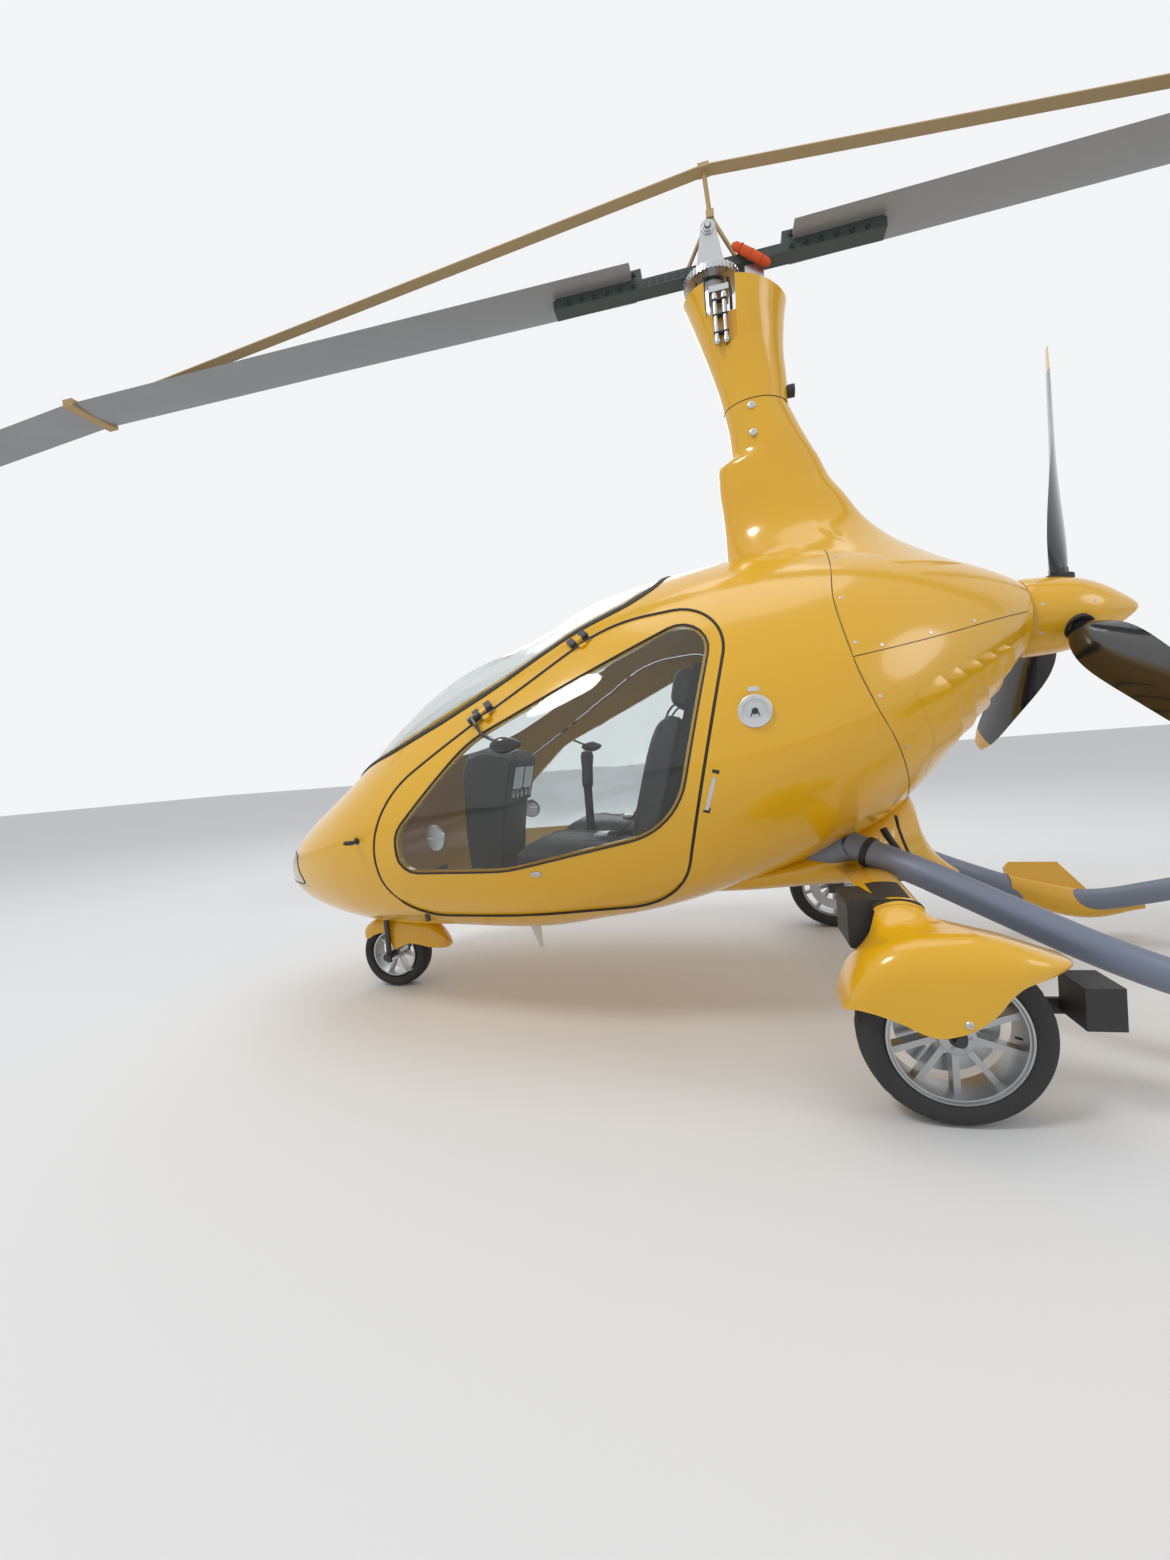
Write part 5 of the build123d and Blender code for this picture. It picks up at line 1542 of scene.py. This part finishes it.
def makeLegTrim():
    shape = legShape
    for side, label in ((-1, "left"), (1, "right")):
        pad = bmesh.new()
        rows = []
        for y in spread(*shape["pad"], 10):
            front, chord, z = bowAt(y)
            row = []
            for part in spread(0.16, 0.84, 9):
                rise = shape["halfThick"] * math.sqrt(max(0, 1 - (2 * part - 1) ** 2))
                row.append(Vector((front + chord * part, side * y, z + rise + 0.0010)))
            rows.append(row)
        faces = addLoft(pad, rows, closed=False)
        bmesh.ops.recalc_face_normals(pad, faces=pad.faces)
        makePiece(pad, f"step_pad_{label}", "blackRubber")
        bands = bmesh.new()
        for y, half in shape["bands"]:
            rings = []
            for shift in (half, -half):
                ring = bowRing(y, shape["bandLift"])
                rings.append([Vector((point.x, side * (y + shift), point.z)) for point in ring])
            addLoft(bands, rings, capStart=True, capEnd=True)
        makePiece(bands, f"leg_bands_{label}", "blackRubber")
        ring = bmesh.new()
        start, end = [Vector((x, side * y, z)) for x, y, z in shape["boom"]]
        run = (end - start).normalized()
        addLathe(ring, shape["ring"], start + run * shape["ringAlong"], run, 48)
        makePiece(ring, f"boom_ring_{label}", "blackRubber")


# Spinner, a shell that tapers to a blunt point, with a cuff round each blade

spinnerShape = {
    "start": (0.917, 0.0, 1.268),
    # distance aft and radius
    "levels": [
        (0.000, 0.1270), (0.008, 0.1305), (0.060, 0.1295), (0.120, 0.1245), (0.165, 0.1160),
        (0.205, 0.1030), (0.245, 0.0840), (0.285, 0.0600), (0.315, 0.0400), (0.338, 0.0225),
        (0.350, 0.0100), (0.3538, 0.0004),
    ],
    "wall": 0.004, "hole": 0.036, "bladePlane": 0.135, "bolts": ((0.028, 0.1303), (0.178, 0.1122)),
    "cuff": [(0.031, 0.096), (0.042, 0.098), (0.043, 0.127), (0.040, 0.131), (0.031, 0.129)],
}


def makeSpinner():
    shape = spinnerShape
    length, wall = shape["levels"][-1][0], shape["wall"]
    levels = smoothTable(shape["levels"], [length * math.sin(turn) for turn in spread(0, math.pi / 2, 40)])
    profile = [(shape["hole"], 0.0)] + [(radius, along) for along, radius in levels]
    profile += [(max(0.0003, radius - wall), max(wall, along - wall)) for along, radius in reversed(levels)]
    profile.append((shape["hole"], wall))
    built = bmesh.new()
    addLathe(built, profile, shape["start"], (1, 0, 0), 72, False)
    piece = makePiece(built, "spinner_shell", "yellowPaint", "propeller", 45)
    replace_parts(piece, "spinner")
    start = Vector(shape["start"])
    cuffs = bmesh.new()
    for i in range(3):
        angle = math.tau * i / 3
        out = (0, math.sin(angle), math.cos(angle))
        addLathe(cuffs, shape["cuff"], start + Vector((shape["bladePlane"], 0, 0)), out, 36, False)
    makePiece(cuffs, "blade_cuffs", "blackRubber", "propeller")
    built = bmesh.new()
    for i in range(9):
        angle = math.tau * i / 9 + 0.2
        out = Vector((0, math.cos(angle), math.sin(angle)))
        for along, radius in shape["bolts"]:
            addBolt(built, start + Vector((along, 0, 0)) + out * radius, out, 0.0048, 0.0016)
    makePiece(built, "spinner_bolts", "machinedMetal", "propeller")


# Keel fairing under the engine, with black tubes of painted shade along two slots on its port side

keelShape = {
    # x, half width, top, widest, bottom
    "stations": [
        (-0.200, 0.120, 0.470, 0.430, 0.372), (0.000, 0.215, 0.505, 0.455, 0.385),
        (0.250, 0.265, 0.590, 0.500, 0.400), (0.450, 0.195, 0.690, 0.520, 0.400),
        (0.530, 0.120, 0.712, 0.520, 0.403), (0.556, 0.095, 0.690, 0.515, 0.404),
        (0.572, 0.083, 0.610, 0.490, 0.404), (0.604, 0.060, 0.525, 0.455, 0.402),
        (0.650, 0.034, 0.462, 0.425, 0.399), (0.700, 0.010, 0.420, 0.408, 0.396),
    ],
    "inSkin": 0.012,
    # photo pixels down each dark slot, and the radius of the black tube laid along it
    "slotShade": [
        ([(895.6, 815.9), (897.9, 826.0), (901.9, 837.9), (907.4, 850.8), (910.9, 856.7)], 0.0055),
        ([(883.0, 828.9), (887.8, 836.7), (894.4, 846.0), (901.5, 855.6)], 0.0120),
    ],
}


def makeKeel():
    shape = keelShape
    rings = []
    for x, half, top, wide, bottom in smoothTable(shape["stations"], spread(-0.200, 0.700, 110)):
        ring = []
        for i in range(56):
            angle = math.tau * i / 56
            y = half * math.cos(angle)
            z = wide + (top - wide if math.sin(angle) > 0 else wide - bottom) * math.sin(angle)
            under, normal, index, distance = bodySkin.ray_cast(Vector((x, y, 0)), Vector((0, 0, 1)))
            if under:
                z = min(z, under.z + shape["inSkin"])
            ring.append(Vector((x, y, z)))
        rings.append(ring)
    built = bmesh.new()
    addLoft(built, rings, capStart=True, capEnd=True)
    surface = BVHTree.FromBMesh(built)
    piece = makePiece(built, "keel_skin", "yellowPaint", sharp=60)
    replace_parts(piece, "keel_fairing")
    # black tubes along the keel's two dark slots: their black is painted shade of the slots, drawn as hoses
    slotShade = bmesh.new()
    for pixels, radius in shape["slotShade"]:
        line = []
        for pixelX, pixelY in pixels:
            place, normal = seenAt(pixelX, pixelY, surface)
            if place:
                line.append(place - normal * 0.3 * radius)
        if len(line) > 2:
            rows = smoothTable([(i, *point) for i, point in enumerate(line)], spread(0, len(line) - 1, 20))
            addTube(slotShade, [row[1:] for row in rows], radius, 12)
    makePiece(slotShade, "keel_slot_shade", "blackRubber")


# Cabin: padded seats, belts, instrument pod, grips and pedals

seatShape = {
    "y": 0.295, "width": 0.420, "headWidth": 0.250,
    "base": ((-0.765, 0.572), (-0.350, 0.530), 0.085),
    "back": ((-0.318, 0.545), (-0.188, 1.020), 0.080),
    "head": ((-0.178, 1.050), (-0.150, 1.168), 0.055),
    "pan": [
        (-0.775, 0.375), (-0.778, 0.560), (-0.760, 0.570), (-0.345, 0.528), (-0.315, 0.545),
        (-0.168, 1.070), (-0.138, 1.172), (-0.110, 1.168), (-0.095, 1.060), (-0.215, 0.600),
        (-0.230, 0.375),
    ],
    # belts: x, distance from the seat's middle (the shoulder belts draw together), z
    "shoulder": [
        (-0.135, 0.085, 1.085), (-0.222, 0.085, 1.060), (-0.292, 0.085, 0.900), (-0.372, 0.0765, 0.720),
        (-0.455, 0.051, 0.640), (-0.505, 0.017, 0.632),
    ],
    "lap": [
        (-0.330, -0.205, 0.560), (-0.400, -0.150, 0.628), (-0.480, -0.05, 0.640), (-0.500, 0.0, 0.640),
        (-0.480, 0.05, 0.640), (-0.400, 0.150, 0.628), (-0.330, 0.205, 0.560),
    ],
    "belt": 0.045,
}


def padForm(start, end, thick, width, y, columns=18, rows=22, crown=0.30):
    # a crowned pad between two side view points, its thickness to the upper front
    start, end = Vector((start[0], y, start[1])), Vector((end[0], y, end[1]))
    run = end - start
    out = Vector((-run.z, 0, run.x)).normalized()
    if out.z < 0 and out.x > 0:
        out = -out
    sheets = []
    for face in (0, 1):
        sheet = []
        for i in range(rows + 1):
            u = i / rows
            line = []
            for j in range(columns + 1):
                v = j / columns
                edgeU = 1 - abs(2 * u - 1) ** 4
                edgeV = 1 - abs(2 * v - 1) ** 4
                swell = (edgeU * edgeV) ** 0.5
                channel = 1 - 0.16 * math.exp(-((abs(v - 0.5) - 0.26) / 0.018) ** 2)
                if abs(v - 0.5) < 0.25:
                    channel -= 0.10 * math.exp(-((u % 0.25 - 0.125) / 0.012) ** 2)
                height = 0.0
                if face:
                    bolster = 0.3 * crown * edgeU * edgeV if abs(v - 0.5) > 0.3 else 0.0
                    height = thick * ((0.5 + 0.5 * swell) * channel + bolster)
                pull = 0.020 * (1 - edgeU) * abs(2 * v - 1) ** 2
                across = (v - 0.5) * (width - 2 * pull)
                line.append(start + run * u + Vector((0, across, 0)) + out * height)
            sheet.append(line)
        sheets.append(sheet)
    return sheets


def addPad(built, sheets):
    bottom, top = [[[built.verts.new(point) for point in line] for line in sheet] for sheet in sheets]
    rows, columns = len(top) - 1, len(top[0]) - 1
    for sheet in (bottom, top):
        for i in range(rows):
            for j in range(columns):
                built.faces.new((sheet[i][j], sheet[i][j + 1], sheet[i + 1][j + 1], sheet[i + 1][j]))
    rim = [(0, j) for j in range(columns)] + [(i, columns) for i in range(rows)]
    rim += [(rows, j) for j in range(columns, 0, -1)] + [(i, 0) for i in range(rows, 0, -1)]
    for (i, j), (k, m) in zip(rim, rim[1:] + rim[:1]):
        built.faces.new((bottom[i][j], bottom[k][m], top[k][m], top[i][j]))


def puff(piece, cap):
    # cloth under slight pressure, with how far each point moves held back
    scene = bpy.context.scene
    remesh = piece.modifiers.new("remesh", "REMESH")
    remesh.mode = "VOXEL"
    remesh.voxel_size = 0.006
    graph = bpy.context.evaluated_depsgraph_get()
    piece.data = bpy.data.meshes.new_from_object(piece.evaluated_get(graph))
    piece.modifiers.clear()
    before = [vertex.co.copy() for vertex in piece.data.vertices]
    cloth = piece.modifiers.new("cloth", "CLOTH")
    cloth.settings.use_pressure = True
    cloth.settings.uniform_pressure_force = 4
    cloth.settings.effector_weights.gravity = 0
    for frameNumber in range(1, 21):
        scene.frame_set(frameNumber)
    graph = bpy.context.evaluated_depsgraph_get()
    swollen = piece.evaluated_get(graph).to_mesh()
    after = [vertex.co.copy() for vertex in swollen.vertices]
    piece.evaluated_get(graph).to_mesh_clear()
    piece.modifiers.clear()
    for vertex, start, end in zip(piece.data.vertices, before, after):
        move = end - start
        if move.length > cap:
            move = move.normalized() * cap
        vertex.co = start + move
    scene.frame_set(1)
    piece.data.shade_smooth()


def makeSeats():
    shape = seatShape
    for side, label in ((-1, "left"), (1, "right")):
        y = side * shape["y"]
        pads = []
        for name in ("base", "back", "head"):
            start, end, thick = shape[name]
            built = bmesh.new()
            width = shape["width"] if name != "head" else shape["headWidth"]
            addPad(built, padForm(start, end, thick, width, y))
            piece = makePiece(built, f"seat_{name}_{label}", "seatLeather", sharp=70)
            if name != "head":
                puff(piece, 0.008)
                piece.data.materials.clear()
                piece.data.materials.append(finish("seatLeather"))
            pads.append(piece)
        if side < 0:
            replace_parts(pads[0], "seats")
        pan = bmesh.new()
        halfWidth = shape["width"] / 2 + 0.012
        rings = []
        for part in spread(-1, 1, 9):
            ring = []
            for x, z in shape["pan"]:
                wall = skinAt(x, z, side)[0]
                room = abs(wall.y) - 0.040
                ring.append((x, side * min(abs(y) + part * halfWidth, room - 0.001 * (1 - part)), z))
            rings.append(ring)
        addLoft(pan, rings, capStart=True, capEnd=True)
        makePiece(pan, f"seat_pan_{label}", "blackPlastic")
        belts = bmesh.new()
        for end in (-1, 1):
            line = [(i, x, y + end * shift, z) for i, (x, shift, z) in enumerate(shape["shoulder"])]
            rows = smoothTable(line, spread(0, len(line) - 1, 26))
            addRibbon(belts, [row[1:] for row in rows], shape["belt"], (0, 1, 0))
        line = [(i, x, y + shift, z) for i, (x, shift, z) in enumerate(shape["lap"])]
        rows = smoothTable(line, spread(0, len(line) - 1, 30))
        addRibbon(belts, [row[1:] for row in rows], shape["belt"], (1, 0, 0.3))
        makePiece(belts, f"seat_belts_{label}", "beltWebbing")
        buckle = bmesh.new()
        addBox(buckle, (-0.525, y - 0.030, 0.636), (-0.478, y + 0.030, 0.655), 0.004)
        makePiece(buckle, f"belt_buckle_{label}", "machinedMetal")


podShape = {
    "profile": [
        (-1.075, 0.372), (-1.092, 0.640), (-1.088, 0.900), (-1.062, 0.972), (-0.985, 0.992), (-0.868, 0.968),
        (-0.852, 0.948), (-0.862, 0.925), (-0.905, 0.765), (-0.925, 0.640), (-0.955, 0.372),
    ],
    "half": 0.150, "middle": (-0.98, 0.70),
    # the panel's face, from its lower to its upper edge
    "panel": ((-0.902, 0, 0.775), (-0.866, 0, 0.925)),
    "screens": (-0.062, 0.062), "dials": (-0.105, -0.055, 0.0, 0.055, 0.105),
    "dial": [(0.0165, 0), (0.0165, 0.004), (0.0140, 0.006), (0.0125, 0.003)],
}

cabinShape = {
    "grip": [
        (0.012, 0), (0.016, 0.01), (0.0175, 0.04), (0.0155, 0.07), (0.018, 0.10), (0.020, 0.125),
        (0.015, 0.14), (0.006, 0.144),
    ],
    "gripFoot": (-0.610, 0.025, 0.800),
    "boot": [
        (0.040, 0), (0.040, 0.006), (0.030, 0.018), (0.034, 0.026), (0.024, 0.036), (0.027, 0.044),
        (0.016, 0.056), (0.0125, 0.062),
    ],
    "bootFoot": (-0.610, 0.040, 0.372),
    "vent": [(0.042, -0.006), (0.044, 0.0), (0.040, 0.006), (0.033, 0.005), (0.030, -0.002)],
    "ventPlace": (-1.020, 0.5185, 0.690),
    "strut": ((-0.085, 0.40, 0.82), (-0.105, 0.455, 1.02), (-0.120, 0.480, 1.13)),
}


def makeCabinFittings():
    built = bmesh.new()
    middleX, middleZ = podShape["middle"]
    rings = []
    for part in spread(-1, 1, 25):
        squeeze = 1 - 0.10 * abs(part) ** 4
        wide = 1 if abs(part) < 1 else 0.94
        ring = []
        for x, z in podShape["profile"]:
            height = middleZ + (z - middleZ) * squeeze if z > 0.5 else z
            ring.append(Vector((middleX + (x - middleX) * squeeze * wide, part * podShape["half"], height)))
        rings.append(ring)
    addLoft(built, rings, capStart=True, capEnd=True)
    pod = makePiece(built, "instrument_column", "blackPlastic", sharp=35)
    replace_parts(pod, "instrument_pod")
    # panel face with two screens and round dials
    face = bmesh.new()
    screens = bmesh.new()
    rings = bmesh.new()
    low, high = [Vector(point) for point in podShape["panel"]]
    up = (high - low).normalized()
    out = Vector((up.z, 0, -up.x))
    turn = Matrix((Vector((0, 1, 0)), up, out)).transposed().to_4x4()
    turn.translation = (low + high) / 2
    addBox(face, (-0.138, -0.078, -0.004), (0.138, 0.078, 0.006), 0.005, turn)
    makePiece(face, "instrument_face", "liningPanel")
    for x in podShape["screens"]:
        addBox(screens, (x - 0.052, -0.030, 0.004), (x + 0.052, 0.052, 0.009), 0.003, turn)
    makePiece(screens, "instrument_screens", "blackGloss")
    for x in podShape["dials"]:
        addLathe(rings, podShape["dial"], turn @ Vector((x, -0.054, 0.006)), out, 28)
    makePiece(rings, "instrument_dials", "machinedMetal")
    shape = cabinShape
    grips = bmesh.new()
    boots = bmesh.new()
    for side in (-1, 1):
        x, y, z = shape["gripFoot"]
        addLathe(grips, shape["grip"], (x, side * y, z), (0.05, 0, 1), 24)
        x, y, z = shape["bootFoot"]
        addLathe(boots, shape["boot"], (x, side * y, z), (0, 0, 1), 28)
    makePiece(grips, "stick_grips", "blackRubber")
    makePiece(boots, "stick_boots", "blackRubber")
    pedals = bmesh.new()
    for side in (-1, 1):
        for shift in (-0.085, 0.085):
            y = side * seatShape["y"] + shift
            addTube(pedals, [(-1.150, y, 0.374), (-1.165, y, 0.480)], 0.009, 10)
            addBox(pedals, (-1.176, y - 0.036, 0.455), (-1.158, y + 0.036, 0.545), 0.005)
    makePiece(pedals, "rudder_pedals", "darkSteel")
    vents = bmesh.new()
    struts = bmesh.new()
    for side in (-1, 1):
        x, y, z = shape["ventPlace"]
        addLathe(vents, shape["vent"], (x, side * y, z), (0.35, -side, 0.1), 40)
        addTube(vents, [(x - 0.028, side * 0.52, z), (x + 0.028, side * 0.52, z)], 0.003, 8)
        foot, joint, head = [(x, side * y, z) for x, y, z in shape["strut"]]
        addTube(struts, [foot, joint], 0.010, 14)
        addTube(struts, [joint, head], 0.005, 12)
    makePiece(struts, "door_gas_struts", "darkSteel")
    makePiece(vents, "cabin_air_vents", "machinedMetal")


eye = makeCamera()
makeStudio()
dressNodes()
print("camera, studio and CAD finishes done")
makeDoorTrim()
makeCowlTrim()
makeGills()
makeBead()
print("seals, seams and gills done")
makeMast()
makeHead()
makeHeadFittings()
print("mast and rotor head done")
makePants()
makeWheels()
makeSpat()
makeBow()
makeLegTrim()
makeSpinner()
makeKeel()
print("wheels, gear, keel and spinner done")
makeLamps()
makeFillerTrim()
makeHandles()
makeBellyFittings()
makeMirrors()
print("body fittings done")
makeSeats()
makeCabinFittings()
print("cabin done")
